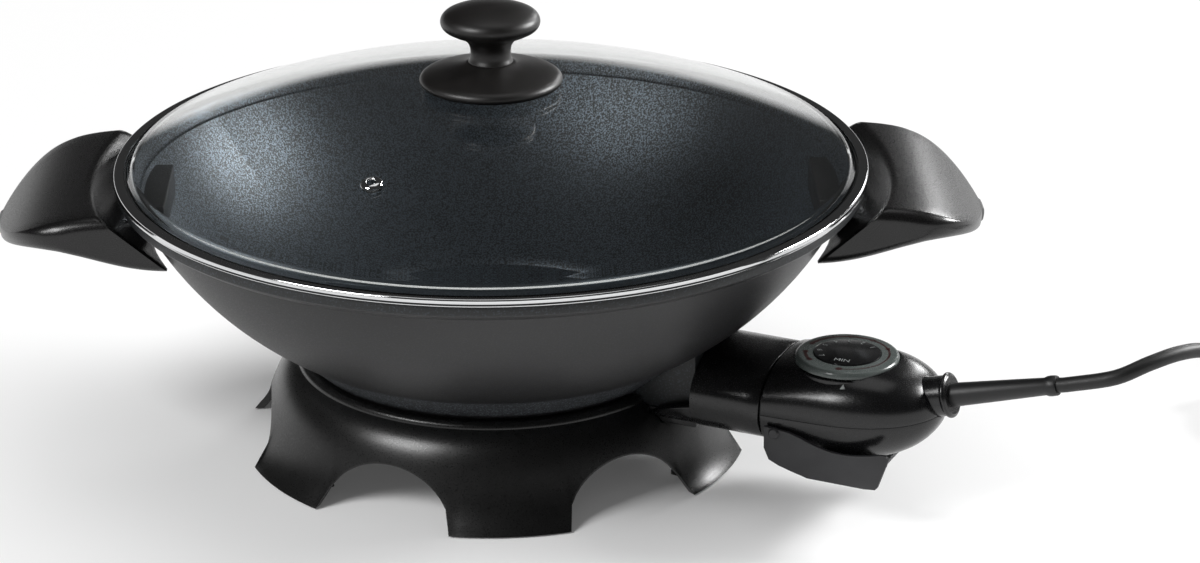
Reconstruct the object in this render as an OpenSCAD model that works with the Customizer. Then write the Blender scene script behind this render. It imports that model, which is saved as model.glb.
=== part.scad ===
// Electric wok: a cast pan on a flared stand, a lift-off glass lid with a steel rim,
// and a plug-in thermostat with a dial, a release lever and a mains lead.
// Millimetres, +Z up. The origin is the middle of the stand, on the surface it stands on.
// The handles lie along X. The thermostat plugs in along its own axis, axis_turn degrees
// clockwise from +X seen from above.

/* [Pan] */
// Outer radius of the pan's rim
rim_radius = 178.5; // [170:0.5:190]
// Height of the top of the rim above the table
rim_height = 138.4; // [132:0.2:150]
// Thickness of the bowl's wall
wall = 4; // [3:0.5:5]
// Radius of the curve of the bowl's wall
bowl_curve = 161.5; // [150:0.5:200]
// Radius at which the bowl meets its foot ring
foot_ring_radius = 108; // [102:1:112]
// Height at which the bowl meets its foot ring
foot_ring_height = 61.5; // [59:0.5:64]
// Thickness of the pan's floor
floor_thickness = 7; // [6.5:0.5:9]
// Height of the band at the outside of the rim
rim_band = 4.4; // [3:0.2:6]

/* [Heater] */
// Radius of the heating element's ring
element_ring = 68; // [60:1:70]
// Diameter of the heating element's tube
element_tube = 7; // [6:0.5:7.5]
// Diameter of each terminal pin
pin_diameter = 5; // [4:0.5:6]
// Distance between the two terminal pins
pin_spacing = 34; // [30:1:38]

/* [Stand] */
// Height of the stand's top, on which the pan rests
stand_height = 46; // [44:0.5:50]
// Outer radius of the stand's upper lip
lip_radius = 95.4; // [94:0.2:98]
// Outer radius round the feet
foot_radius = 123.2; // [118:0.2:130]
// Wall thickness of the stand
stand_wall = 3; // [2.5:0.5:4]
// Radius of each arch between two legs
arch_radius = 37; // [33:0.5:38]
// Height of each arch above the table
arch_height = 26.5; // [22:0.5:28]
// Number of legs
leg_count = 6; // [6:1:6]

/* [Lid] */
// How far the steel rim ring stands out past the pan's rim
ring_overhang = 1.5; // [0.5:0.5:3]
// Height of the steel rim ring
ring_height = 3.8; // [3.4:0.2:5]
// Thickness of the glass
glass = 4; // [3:0.5:5]
// Height of the top of the dome above the steel ring
dome_rise = 37.5; // [30:0.5:45]
// Radius of the knob
knob_radius = 24; // [20:0.5:28]
// Radius of the flared skirt under the knob
skirt_radius = 34.5; // [30:0.5:40]
// Height of the knob and its skirt above the glass
knob_height = 40; // [36:0.5:48]

/* [Handles] */
// Length of the handles from end to end of the wok
handle_span = 475; // [462:1:490]
// Width of each handle at its root
handle_width = 130; // [110:1:140]
// Gap between the pan's wall and the handle's inner face
handle_gap = 12; // [8:0.5:16]
// Radius of the rounded edges of a handle
handle_edge = 5; // [3:0.5:6]

/* [Thermostat] */
// Turn of the thermostat's axis from the handles' line
axis_turn = 27; // [20:1:35]
// Distance from the wok's middle to the open end of the socket sleeve
sleeve_end = 153.7; // [151:0.1:156]
// Half width of the socket sleeve and the housing
housing_half_width = 33.5; // [31:0.5:34.5]
// Half height of the socket sleeve
sleeve_half_height = 20; // [19:0.5:21]
// Half height of the thermostat housing
housing_half_height = 23.7; // [22.5:0.1:24]
// Length of the thermostat housing
housing_length = 76; // [74:1:80]
// Wall thickness of the moulded housing and sleeve
shell = 2.5; // [2:0.25:3]
// Outer radius of the dial ring
dial_radius = 24.8; // [22:0.2:26]
// Diameter of the sensor probe
probe_diameter = 6; // [5:0.5:7]
// Diameter of the dial's shaft
shaft_diameter = 6; // [5:0.5:8]

/* [Lead] */
// Diameter of the mains lead
cord_diameter = 7; // [6:0.5:7]
// Length of the strain relief
relief_length = 52; // [45:1:60]

/* [Hidden] */
$fn = 96;

// Fits and gaps
run_fit = 0.05;       // radial fit of a pin or shaft in its bore
seat_gap = 0.1;       // gap between pieces of one body that sit on each other
part_gap = 0.3;       // gap between pieces that move against each other
cut = 0.5;            // how far a cutting shape reaches past a face

// ---------- curves and sections ----------
function mix(a, b, t) = a + (b - a) * t;
function bezier(p, t) = pow(1 - t, 3) * p[0] + 3 * t * pow(1 - t, 2) * p[1]
    + 3 * t * t * (1 - t) * p[2] + pow(t, 3) * p[3];
function bezier_line(p, steps) = [for (i = [0 : steps]) bezier(p, i / steps)];
// Centre of the circle of radius r through p and q, on the left of the way from p to q
function arc_centre(p, q, r) = let (
    m = (p + q) / 2,
    d = q - p,
    k = sqrt(r * r - d * d / 4) / norm(d))
    m + k * [-d.y, d.x];
function arc_points(c, r, a0, a1, steps) = [
    for (i = [0 : steps]) let (a = mix(a0, a1, i / steps)) c + r * [cos(a), sin(a)]];
function soft_power(x, n) = sign(x) * pow(abs(x), 2 / n);
// A rounded oval; the exponent n runs from 2, an ellipse, towards a rectangle
function oval(a, b, n, steps) = [
    for (i = [0 : steps - 1]) let (t = 360 * i / steps)
        [a * soft_power(cos(t), n), b * soft_power(sin(t), n)]];
function reverse(list) = [for (i = [len(list) - 1 : -1 : 0]) list[i]];
// A rectangle of half sizes a and b with corners of radius r, each of k + 1 points
function rounded_box(a, b, r, k) = [
    for (q = [0 : 3], i = [0 : k]) let (
        t = 90 * (q + i / k),
        cx = (q == 0 || q == 3 ? 1 : -1) * (a - r),
        cy = (q < 2 ? 1 : -1) * (b - r))
        [cx + r * cos(t), cy + r * sin(t)]];

// A closed solid through a list of sections that all have the same number of points.
// Its two ends are closed by strips between the first and the second half of the points.
module loft(sections) {
    n = len(sections[0]);
    last = (len(sections) - 1) * n;
    points = [for (s = sections, p = s) p];
    sides = [for (j = [0 : len(sections) - 2], i = [0 : n - 1]) let (
        a = j * n + i,
        b = j * n + (i + 1) % n)
        each [[a, a + n, b], [b, a + n, b + n]]];
    caps = [for (i = [0 : n / 2 - 2]) let (k = n - 1 - i) each [
        [i, i + 1, k - 1], [i, k - 1, k],
        [last + k - 1, last + i + 1, last + i], [last + k, last + k - 1, last + i]]];
    polyhedron(points, concat(sides, caps), convexity = 6);
}

// Puts its children on the thermostat's axis, with x along it away from the wok's middle
module on_axis() {
    rotate([0, 0, -axis_turn]) children();
}

// An oval bar along x, from x0 to x1, with its middle at height z
module oval_bar(x0, x1, z, a, b, n, steps = 48) {
    translate([x0, 0, z]) rotate([90, 0, 90]) linear_extrude(x1 - x0) polygon(oval(a, b, n, steps));
}

// A round bar along x
module bar_x(x0, x1, y, z, d) {
    translate([x0, y, z]) rotate([0, 90, 0]) cylinder(d = d, h = x1 - x0);
}

// ---------- pan ----------
pan_bottom = stand_height;
floor_top = pan_bottom + floor_thickness;
rim_fold = rim_height - rim_band - 5;
wall_top = [rim_radius - 8.8, rim_fold];
ring_meet = [foot_ring_radius, foot_ring_height];
bowl_centre = arc_centre(ring_meet, wall_top, bowl_curve);
inner_curve = bowl_curve - wall;
ledge_height = rim_height - 7.2;
foot_ring_foot = [92, pan_bottom + 2.3];
outer_start = atan2(ring_meet.y - bowl_centre.y, ring_meet.x - bowl_centre.x);
outer_end = atan2(wall_top.y - bowl_centre.y, wall_top.x - bowl_centre.x);
inner_start = asin((floor_top - bowl_centre.y) / inner_curve);
inner_end = asin((ledge_height - bowl_centre.y) / inner_curve);
ledge_radius = bowl_centre.x + inner_curve * cos(inner_end);
// Radius of the bowl's outer wall at the height z
function wall_radius(z) = bowl_centre.x + sqrt(pow(bowl_curve, 2) - pow(z - bowl_centre.y, 2));

// Heater boss under the bowl, on the thermostat's axis
boss_face = 118.5;
boss_half_width = 26;
boss_top = 72;
boss_bottom = pan_bottom - 4;
boss_start = 84;
element_height = pan_bottom + 1.5;
probe_height = element_height + 6.5;
guide_diameter = probe_diameter + 2 * run_fit + 2.4;
guide_start = 86;
guide_proud = 3;

// Screws: from the stand up into the pan, and from the sleeve's tongue up into the boss
screw = 4;
screw_bite = 5;
stand_screw_radius = 84.5;
stand_screw_turns = [33, 153, 273];
tongue_screw_places = [[106, -8], [106, 8]];

// Lugs at the rim, each with a flat face for a handle's bracket
lug_face = rim_radius - 8.5;
lug_half_width = 30;
lug_low = 114;
lug_high = 129;
lug_screw_spread = 15;
lug_screw_height = (lug_low + lug_high) / 2;
lug_screw_bite = 6;

module pan_profile() {
    polygon(concat(
        [[0, pan_bottom], [foot_ring_foot.x - 2, pan_bottom], foot_ring_foot, ring_meet - [1.5, 0.8]],
        arc_points(bowl_centre, bowl_curve, outer_start, outer_end, 18),
        [
            [rim_radius - 3.5, rim_fold + 2.2],
            [rim_radius - 0.6, rim_height - rim_band - 0.6],
            [rim_radius, rim_height - rim_band],
            [rim_radius, rim_height - 0.6],
            [rim_radius - 0.6, rim_height],
            [ledge_radius + 4.5, rim_height],
            [ledge_radius + 3.8, rim_height - 0.7],
            [ledge_radius + 1.6, ledge_height + 0.6]
        ],
        arc_points(bowl_centre, inner_curve, inner_end, inner_start, 18),
        [[0, floor_top]]
    ));
}

// The space inside the bowl, up to the ledge
module bowl_space() {
    rotate_extrude($fn = 128) polygon(concat(
        [[0, floor_top], [0, ledge_height]],
        arc_points(bowl_centre, inner_curve, inner_end, inner_start, 18)));
}

module pan() color("#2b2d30") difference() {
    union() {
        rotate_extrude($fn = 128) pan_profile();
        difference() {
            union() {
                on_axis() translate([boss_start, -boss_half_width, boss_bottom])
                    cube([boss_face - boss_start, 2 * boss_half_width, boss_top - boss_bottom]);
                for (side = [0, 180]) rotate([0, 0, side])
                    translate([lug_face - 22, -lug_half_width, lug_low])
                    cube([22, 2 * lug_half_width, lug_high - lug_low]);
            }
            bowl_space();
        }
    }
    heater_groove();
    on_axis() {
        bar_x(guide_start, boss_face + cut, 0, probe_height, guide_diameter + 2 * run_fit);
        for (p = tongue_screw_places) translate([p.x, p.y, boss_bottom - cut])
            cylinder(d = screw + 2 * run_fit, h = screw_bite + cut);
    }
    for (t = stand_screw_turns) rotate([0, 0, t]) translate([stand_screw_radius, 0, pan_bottom - cut])
        cylinder(d = screw + 2 * run_fit, h = screw_bite + cut);
    for (side = [0, 180], y = [-1, 1]) rotate([0, 0, side])
        bar_x(lug_face - lug_screw_bite, lug_face + cut, y * lug_screw_spread, lug_screw_height, screw + 2 * run_fit);
}

// ---------- heater ----------
element_bend = 12;
element_turn = asin((pin_spacing / 2 + element_bend) / (element_ring + element_bend));
bend_x = (element_ring + element_bend) * cos(element_turn);
bend_y = pin_spacing / 2 + element_bend;
element_end = boss_face - 4;
terminal_end = boss_face + 25;
element_space = element_tube + 2 * run_fit;

// Where the element lies: a groove under the pan, a pocket for its bends and two bores in the boss
module heater_groove() {
    rotate_extrude() translate([element_ring - element_space / 2, pan_bottom - cut])
        square([element_space, element_height + element_space / 2 - pan_bottom + cut]);
    on_axis() for (side = [0, 1]) mirror([0, side, 0]) {
        translate([element_ring - 6, pin_spacing / 2 - element_space / 2, boss_bottom - cut])
            cube([boss_start + 3 - element_ring + 6, element_space + 6, element_height + element_space / 2 - boss_bottom + cut]);
        bar_x(boss_start + 2, boss_face + cut, pin_spacing / 2, element_height, element_space);
    }
}

// One bent end of the element, as points in the thermostat's axis frame
function element_tail(side) = concat(
    [for (p = arc_points([bend_x, bend_y], element_bend, 180 + element_turn, 270, 5)) [p.x, side * p.y, element_height]],
    [[element_end, side * pin_spacing / 2, element_height]]);
element_points = concat(
    reverse(element_tail(1)),
    [for (p = arc_points([0, 0], element_ring, element_turn + 7.5, 360 - element_turn - 7.5, 44)) [p.x, p.y, element_height]],
    element_tail(-1));

module heating_element() color("#6f6f72") on_axis()
    loft(rings(element_points, element_tube / 2, 12, [-1, 0, 0], [1, 0, 0]));

module terminal_pins() color("#b9bcc0") on_axis() for (y = [-1, 1]) {
    bar_x(element_end + seat_gap, terminal_end, y * pin_spacing / 2, element_height, pin_diameter);
    translate([terminal_end, y * pin_spacing / 2, element_height]) rotate([0, 90, 0])
        cylinder(d1 = pin_diameter, d2 = pin_diameter - 2, h = 1);
}

insulator_flange = element_tube + 2;
insulator_end = boss_face + 3;
module terminal_insulators() color("#e8e2d6") on_axis() for (y = [-1, 1]) difference() {
    union() {
        bar_x(element_end + seat_gap, insulator_end, y * pin_spacing / 2, element_height, element_tube);
        bar_x(boss_face + seat_gap, insulator_end, y * pin_spacing / 2, element_height, insulator_flange);
    }
    bar_x(element_end - cut, insulator_end + cut, y * pin_spacing / 2, element_height, pin_diameter + 2 * run_fit);
}

module probe_guide() color("#a7a9ac") on_axis() difference() {
    bar_x(guide_start, boss_face + guide_proud, 0, probe_height, guide_diameter);
    bar_x(guide_start + 1.5, boss_face + guide_proud + cut, 0, probe_height, probe_diameter + 2 * run_fit);
}

// ---------- handles ----------
handle_root = rim_radius - 18.5;
handle_tip = handle_span / 2;
handle_top = [[handle_root + 5, 134.5], [handle_root + 52, 137.5], [handle_root + 56, 126], [handle_tip, 116.5]];
handle_bottom = [[handle_root, 107.5], [handle_root + 40, 110], [handle_root + 52, 126], [handle_tip - 0.5, 111.5]];
handle_shoulder = handle_root + 30;
handle_stations = 20;
face_low = [ceil(10 * (wall_radius(100) + handle_gap)) / 10, 100];
face_high = [face_low.x + 26.6, 136];
bracket_sheet = 2;
bracket_half_width = 27;
bracket_reach = 20;
bracket_low = lug_low + 1.5;
root_half_width = 24.8;
shelf_screw = [lug_face + 14, 15];
shelf_screw_head = 111.6;

// Half the width of a handle at the distance x from the wok's middle
function handle_half(x) = let (u = max(0, min(1, (x - handle_shoulder) / (handle_tip + 0.6 - handle_shoulder))))
    handle_width / 2 * pow(1 - pow(u, 1.6), 0.8);
// One section of a handle: its height follows the two side curves, its width the plan
function handle_section(t) = let (
    top = bezier(handle_top, t),
    low = bezier(handle_bottom, t),
    half_high = (top.y - low.y) / 2,
    half_wide = handle_half((top.x + low.x) / 2),
    r = min(handle_edge, half_wide * 0.9, half_high * 0.9))
    [for (p = rounded_box(half_wide, half_high, r, 5)) let (v = (p.y / half_high + 1) / 2)
        [mix(low.x, top.x, v), p.x, mix(low.y, top.y, v)]];

module handle() difference() {
    union() {
        difference() {
            loft([for (i = [0 : handle_stations]) handle_section(i / handle_stations)]);
            rotate_extrude($fn = 128) polygon([
                [0, face_low.y], face_low, face_high, [face_high.x, face_high.y + 10], [0, face_high.y + 10]]);
        }
        translate([lug_face + bracket_sheet + 3, -root_half_width, bracket_low - 1])
            cube([face_high.x - lug_face, 2 * root_half_width, lug_high - bracket_low]);
    }
    // The slot for the bracket's shelf, and the bores of the screws that hold it from below
    translate([lug_face, -bracket_half_width - seat_gap, bracket_low - seat_gap])
        cube([bracket_reach + 2 * seat_gap, 2 * (bracket_half_width + seat_gap), bracket_sheet + 2 * seat_gap]);
    for (y = [-1, 1]) translate([shelf_screw.x, y * shelf_screw.y, 0]) {
        translate([0, 0, shelf_screw_head - 20]) cylinder(d = 2 * screw, h = 20 + seat_gap);
        translate([0, 0, shelf_screw_head - 1]) cylinder(d = screw + 2 * run_fit, h = 16);
    }
}

module left_handle() color("#1b1b1c") rotate([0, 0, 180]) handle();
module right_handle() color("#1b1b1c") handle();

module handle_bracket() difference() {
    union() {
        translate([lug_face + seat_gap, -bracket_half_width, bracket_low])
            cube([bracket_sheet, 2 * bracket_half_width, lug_high - 1 - bracket_low]);
        translate([lug_face + seat_gap, -bracket_half_width, bracket_low])
            cube([bracket_reach, 2 * bracket_half_width, bracket_sheet]);
    }
    for (y = [-1, 1]) {
        bar_x(lug_face - cut, lug_face + 5, y * lug_screw_spread, lug_screw_height, screw + 2 * run_fit);
        translate([shelf_screw.x, y * shelf_screw.y, bracket_low - cut]) cylinder(d = screw + 2 * run_fit, h = 5);
    }
}

module left_handle_bracket() color("#9a9da1") rotate([0, 0, 180]) handle_bracket();
module right_handle_bracket() color("#9a9da1") handle_bracket();

// A screw pointing down the -z axis with the underside of its domed head at z = 0
module domed_screw(d, length) {
    translate([0, 0, -length]) cylinder(d = d, h = length, $fn = 32);
    rotate_extrude($fn = 32) polygon([[0, 0], [d * 0.9, 0], [d * 0.9, d * 0.2], [d * 0.6, d * 0.5], [0, d * 0.6]]);
}

module handle_screws() color("#b9bcc0") for (side = [0, 180], y = [-1, 1]) rotate([0, 0, side]) {
    translate([lug_face + seat_gap + bracket_sheet + seat_gap, y * lug_screw_spread, lug_screw_height])
        rotate([0, 90, 0]) domed_screw(screw, lug_screw_bite + bracket_sheet);
    translate([shelf_screw.x, y * shelf_screw.y, shelf_screw_head])
        mirror([0, 0, 1]) domed_screw(screw, 14);
}

// ---------- stand ----------
stand_foot = 0.8;
plate_inner = 77;
plate_thickness = 3;
leg_turn = 360 / leg_count;
lip = [lip_radius + 0.6, stand_height - 3];
flare = [lip, lip + [16, -7], [foot_radius - 15.2, 14], [foot_radius, stand_foot]];
notch_half_width = 27;
tongue_half_width = 24;
tongue_low = 34.5;
foot_pad_width = 9.5;
foot_pad_reach = [foot_radius - 6.7 - foot_pad_width, foot_radius - 6.7];
foot_pad_spread = 15;
foot_pad_height = 4;

module stand_profile() {
    polygon(concat(
        [[plate_inner, stand_height], [lip_radius - 2.6, stand_height], [lip_radius - 0.6, stand_height - 0.8]],
        bezier_line(flare, 14),
        [for (i = [14 : -1 : 1]) let (p = bezier(flare, i / 14)) [p.x - stand_wall, max(p.y, stand_foot)]],
        [[lip.x - stand_wall - 1, stand_height - plate_thickness - 2],
            [lip.x - stand_wall - 3, stand_height - plate_thickness], [plate_inner, stand_height - plate_thickness]]
    ));
}

// The opening over the leg under the socket, for the boss and the sleeve
module saddle() {
    on_axis() {
        translate([plate_inner - 5, -notch_half_width, tongue_low - part_gap]) cube([60, 2 * notch_half_width, 30]);
        oval_bar(lip_radius, 140, sleeve_height, housing_half_width + 0.5, sleeve_half_height + 0.5, sleeve_square);
    }
}

module stand() color("#1d1d1f") difference() {
    union() {
        rotate_extrude($fn = 128) stand_profile();
        on_axis() for (i = [0 : leg_count - 1]) rotate([0, 0, i * leg_turn]) leg_shelf();
    }
    on_axis() for (i = [0 : leg_count - 1]) rotate([0, 0, (i + 0.5) * leg_turn])
        translate([70, 0, arch_height - arch_radius]) rotate([0, 90, 0]) cylinder(r = arch_radius, h = 80);
    saddle();
    for (t = stand_screw_turns) rotate([0, 0, t]) translate([stand_screw_radius, 0, 0])
        cylinder(d = screw + 2 * run_fit, h = stand_height + cut);
}

// The inner shelf of a leg that holds its rubber foot, with a rib up to the plate
module leg_shelf() {
    rotate([0, 0, -foot_pad_spread / 2 - 2]) rotate_extrude(angle = foot_pad_spread + 4)
        translate([foot_pad_reach[0] - 3, foot_pad_height - 0.5]) square([foot_radius - foot_pad_reach[0] - 2, 2.5]);
    translate([0, -1, 0]) rotate([90, 0, 0]) translate([0, 0, -2]) linear_extrude(2) polygon([
        [plate_inner + 12, stand_height - plate_thickness + 0.5],
        [lip.x + 1, stand_height - plate_thickness - 4],
        [bezier(flare, 0.5).x - 1, bezier(flare, 0.5).y],
        [bezier(flare, 0.85).x - 1, bezier(flare, 0.85).y],
        [foot_pad_reach[0] - 3, foot_pad_height + 1]
    ]);
}

module rubber_feet() color("#0f0f10") on_axis() for (i = [0 : leg_count - 1])
    rotate([0, 0, i * leg_turn - foot_pad_spread / 2]) rotate_extrude(angle = foot_pad_spread)
    translate([foot_pad_reach[0], 0])
    polygon([[0.6, 0], [0, 0.6], [0, foot_pad_height - 0.5], [foot_pad_reach[1] - foot_pad_reach[0], foot_pad_height - 0.5],
        [foot_pad_reach[1] - foot_pad_reach[0], 0.6], [foot_pad_reach[1] - foot_pad_reach[0] - 0.6, 0]]);

module stand_screws() color("#b9bcc0") for (t = stand_screw_turns)
    rotate([0, 0, t]) translate([stand_screw_radius, 0, stand_height - plate_thickness - seat_gap])
    mirror([0, 0, 1]) domed_screw(screw, plate_thickness + screw_bite);

// ---------- socket sleeve ----------
sleeve_height = stand_height + 4.6;
sleeve_square = 2.25;
sleeve_start = boss_face + 0.5;
sleeve_wall = 3;

module socket_sleeve() color("#121213") on_axis() difference() {
    union() {
        oval_bar(sleeve_start, sleeve_end, sleeve_height, housing_half_width, sleeve_half_height, sleeve_square);
        // The tongue that runs back under the boss, tapered towards the stand
        translate([0, 0, tongue_low]) linear_extrude(boss_bottom - tongue_low - seat_gap) polygon([
            [90, -tongue_half_width + 6], [96, -tongue_half_width], [sleeve_start + 8, -tongue_half_width - 2],
            [sleeve_start + 8, tongue_half_width + 2], [96, tongue_half_width], [90, tongue_half_width - 6]]);
    }
    oval_bar(sleeve_start + sleeve_wall, sleeve_end + cut, sleeve_height, housing_half_width - sleeve_wall,
        sleeve_half_height - sleeve_wall, sleeve_square);
    bar_x(sleeve_start - cut, sleeve_start + 5, 0, probe_height, guide_diameter + 0.4);
    for (y = [-1, 1]) bar_x(sleeve_start - cut, sleeve_start + 5, y * pin_spacing / 2, element_height, insulator_flange + 0.4);
    for (p = tongue_screw_places) translate([p.x, p.y, 0]) {
        cylinder(d = screw + 2 * run_fit, h = 60);
        cylinder(d = 2 * screw + 0.4, h = tongue_low + 2.6);
    }
    // The bowl's curve, which the sleeve's upper end meets
    rotate_extrude($fn = 128) polygon(concat(
        [[sleeve_start - 10, boss_top - 8], [sleeve_start - 10, boss_top + 8]],
        arc_points(bowl_centre, bowl_curve + 2 * seat_gap,
            asin((boss_top + 8 - bowl_centre.y) / (bowl_curve + 2 * seat_gap)),
            asin((boss_top - 8 - bowl_centre.y) / (bowl_curve + 2 * seat_gap)), 6)));
}

module sleeve_screws() color("#b9bcc0") on_axis() for (p = tongue_screw_places)
    translate([p.x, p.y, tongue_low + 2.6 - seat_gap]) mirror([0, 0, 1])
    domed_screw(screw, boss_bottom - tongue_low - 2.6 + screw_bite - 0.3);

// ---------- lid ----------
ring_sheet = 0.6;
ring_radius = rim_radius + ring_overhang;
ring_low = rim_height + part_gap / 2;
ring_top = ring_low + ring_height;
brim_top = ring_top - ring_sheet - seat_gap;
brim_low = ring_low + ring_sheet + seat_gap;
apex = ring_top + dome_rise;
dome_edge = [ring_radius - 20, ring_top + 9.9];
dome_drop = apex - dome_edge.y;
dome_curve = (dome_edge.x * dome_edge.x + dome_drop * dome_drop) / (2 * dome_drop);
dome_centre = apex - dome_curve;
dome_slope = asin(dome_edge.x / dome_curve);
edge_run = [cos(dome_slope), -sin(dome_slope)];
edge_inward = [-sin(dome_slope), -cos(dome_slope)];
glass_top = [[ring_radius - 6.5, brim_top], [ring_radius - 11.5, brim_top], dome_edge + 6 * edge_run, dome_edge];
glass_low = [[ring_radius - 8.5, brim_low], [ring_radius - 13.5, brim_low],
    dome_edge + glass * edge_inward + 6 * edge_run, dome_edge + glass * edge_inward];
vent_turn = 241;
vent_radius = 112;
vent_hole = 4.4;
vent_barrel = 6.8;
vent_flange = 10.4;
knob_screw_d = 5;

module lid_glass() color([0.75, 0.82, 0.8, 0.35]) difference() {
    rotate_extrude($fn = 128) polygon(concat(
        [[ring_radius - ring_sheet - 0.4, brim_low], [ring_radius - ring_sheet - 0.4, brim_top]],
        bezier_line(glass_top, 6),
        arc_points([0, dome_centre], dome_curve, 90 - dome_slope + 0.6, 90, 18),
        arc_points([0, dome_centre], dome_curve - glass, 90, 90 - dome_slope + 0.6, 18),
        [for (i = [6 : -1 : 0]) bezier(glass_low, i / 6)]));
    cylinder(d = knob_screw_d + 3, h = 300);
    at_vent() translate([0, 0, -glass - 3]) cylinder(d = vent_barrel + 2 * run_fit, h = glass + 6);
}

// Puts its children on the dome's outer face at the vent, square to the glass
module at_vent() {
    rotate([0, 0, vent_turn]) translate([0, 0, dome_centre])
        rotate([0, asin(vent_radius / dome_curve), 0]) translate([0, 0, dome_curve]) children();
}

module lid_rim() color("#d5d7da") rotate_extrude($fn = 128) polygon(concat(
    [[ring_radius - 4.8, ring_top]],
    arc_points([ring_radius - 0.9, ring_top - 0.9], 0.9, 90, 0, 3),
    arc_points([ring_radius - 0.9, ring_low + 0.9], 0.9, 0, -90, 3),
    [[ring_radius - 5.4, ring_low], [ring_radius - 5.4, ring_low + ring_sheet],
        [ring_radius - ring_sheet, ring_low + ring_sheet], [ring_radius - ring_sheet, ring_top - ring_sheet],
        [ring_radius - 4.8, ring_top - ring_sheet]]));

module vent_eyelet() color("#cfd1d4") at_vent() rotate_extrude($fn = 48) polygon([
    [vent_hole / 2, 0.9], [vent_hole / 2 + 0.7, 1.5], [vent_flange / 2 - 1, 1.3], [vent_flange / 2, 0.5],
    [vent_flange / 2, seat_gap], [vent_barrel / 2, seat_gap], [vent_barrel / 2, -glass - seat_gap],
    [vent_flange / 2 - 0.6, -glass - seat_gap], [vent_flange / 2 - 0.6, -glass - 0.8], [vent_hole / 2, -glass - 1]]);

// Heights in the knob are measured from the dome's top and scale with the knob's height
function knob_at(r, k) = [r, apex + 0.1 + k * knob_height / 39.7];
module knob_skirt() color("#191716") difference() {
    rotate_extrude() polygon([
        knob_at(0, 0), knob_at(skirt_radius - 4, 0.2), knob_at(skirt_radius - 1.2, 1), knob_at(skirt_radius, 2.6),
        knob_at(skirt_radius - 0.6, 4.1), knob_at(skirt_radius - 3, 5.6), knob_at(skirt_radius - 8, 7),
        knob_at(skirt_radius - 15, 8.2), knob_at(14, 9.6), knob_at(11, 11.4), knob_at(0, 11.4)]);
    cylinder(d = knob_screw_d + 2 * run_fit, h = 300);
}

module knob() color("#191716") difference() {
    rotate_extrude() polygon(concat(
        [knob_at(0, 11.6), knob_at(10.6, 11.6)],
        bezier_line([knob_at(9.9, 13), knob_at(8.6, 20.5), knob_at(11, 23), knob_at(knob_radius - 5, 26.2)], 8),
        bezier_line([knob_at(knob_radius - 2.4, 27.6), knob_at(knob_radius + 0.7, 29.6),
            knob_at(knob_radius + 0.5, 34), knob_at(knob_radius - 4, 36)], 8),
        [knob_at(knob_radius - 12, 38.6), knob_at(knob_radius - 18, 39.4), knob_at(0, 39.7)]));
    translate([0, 0, apex]) cylinder(d = knob_screw_d + 2 * run_fit, h = 26);
}

washer_thickness = 1.5;
module knob_screw() color("#b9bcc0") translate([0, 0, apex - glass - washer_thickness - 3 * seat_gap]) {
    cylinder(d = knob_screw_d, h = 28);
    mirror([0, 0, 1]) rotate_extrude() polygon([[0, 0], [6, 0], [5.6, 1.6], [3.4, 2.8], [0, 3]]);
}

module knob_washer() color("#3a3a3a") difference() {
    translate([0, 0, apex - glass - washer_thickness - 2 * seat_gap]) cylinder(r = 8.5, h = washer_thickness);
    cylinder(d = knob_screw_d + 2 * run_fit, h = 300);
}

// ---------- thermostat housing ----------
housing_start = sleeve_end + 1.3;
belly = 27.7;          // where the housing starts to close, from the sleeve's end
housing_rise = 3;      // how far the housing's middle climbs towards its tip
housing_square = 2.5;
half_steps = 18;

function middle_height(s) = sleeve_height + housing_rise * pow(max(0, s) / housing_length, 1.5);
function closing(s) = let (k = max(0, s - belly) / (housing_length - belly)) sqrt(max(0, 1 - pow(k, 2.2)));
function swell(s) = sin(90 * min(1, s / belly));
function half_wide(s) = housing_half_width * closing(s);
function half_high(s) = mix(sleeve_half_height, housing_half_height, swell(s)) * closing(s);
housing_stations = concat(
    [housing_start - sleeve_end, housing_start - sleeve_end + 5, 12, 20],
    [for (i = [0 : 9]) belly + (housing_length - belly) * min(0.998, sin(10 * i))]);

// One half of the shell at the distance s past the sleeve's end; side is 1 above and -1 below
function shell_section(s, side) = let (
    a = half_wide(s),
    b = half_high(s),
    ai = max(a - shell, 0.3 * a),
    bi = max(b - shell, 0.3 * b),
    outside = [for (i = [0 : half_steps]) let (t = 180 * i / half_steps)
        [a * soft_power(cos(t), housing_square), b * soft_power(sin(t), housing_square)]],
    inside = [for (i = [half_steps : -1 : 0]) let (t = 180 * i / half_steps)
        [ai * soft_power(cos(t), housing_square), bi * soft_power(sin(t), housing_square)]],
    ring = concat(outside, inside))
    [for (p = ring) [sleeve_end + s, side * p.x, middle_height(s) + side * p.y]];

// Screw posts: distance along the axis and distance from it
housing_posts = [[167, 21], [206, 14]];
post_radius = 4.5;
post_bite = 0.4;       // how far a post's ends reach into the shell
housing_screw = 3;
head_pocket = 3.6;

dial_x = 184.5;
dial_seat = sleeve_height + 20.2;
dial_low = dial_seat + part_gap;
shaft_low = 48.4;
lever_pivot = [163, 44];
lever_pin = 3;

exit_x = 226.5;
exit_height = 60;
exit_tilt = 15.6;
collar_radius = 9.5;
collar_back = 8;
collar_front = 11;

// Puts its children where the lead leaves the housing, with x along the lead
module at_exit() {
    on_axis() translate([exit_x, 0, exit_height]) rotate([0, -exit_tilt, 0]) children();
}
module collar_bore() {
    at_exit() rotate([0, 90, 0]) translate([0, 0, -collar_back - 0.2]) cylinder(r = collar_radius + 0.1, h = 40);
}

// How far the inner face of the shell lies above and below the housing's middle
function inner_reach(x, y) = let (s = x - sleeve_end, a = half_wide(s) - shell, b = half_high(s) - shell)
    b * pow(1 - pow(y / a, housing_square), 1 / housing_square);

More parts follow.
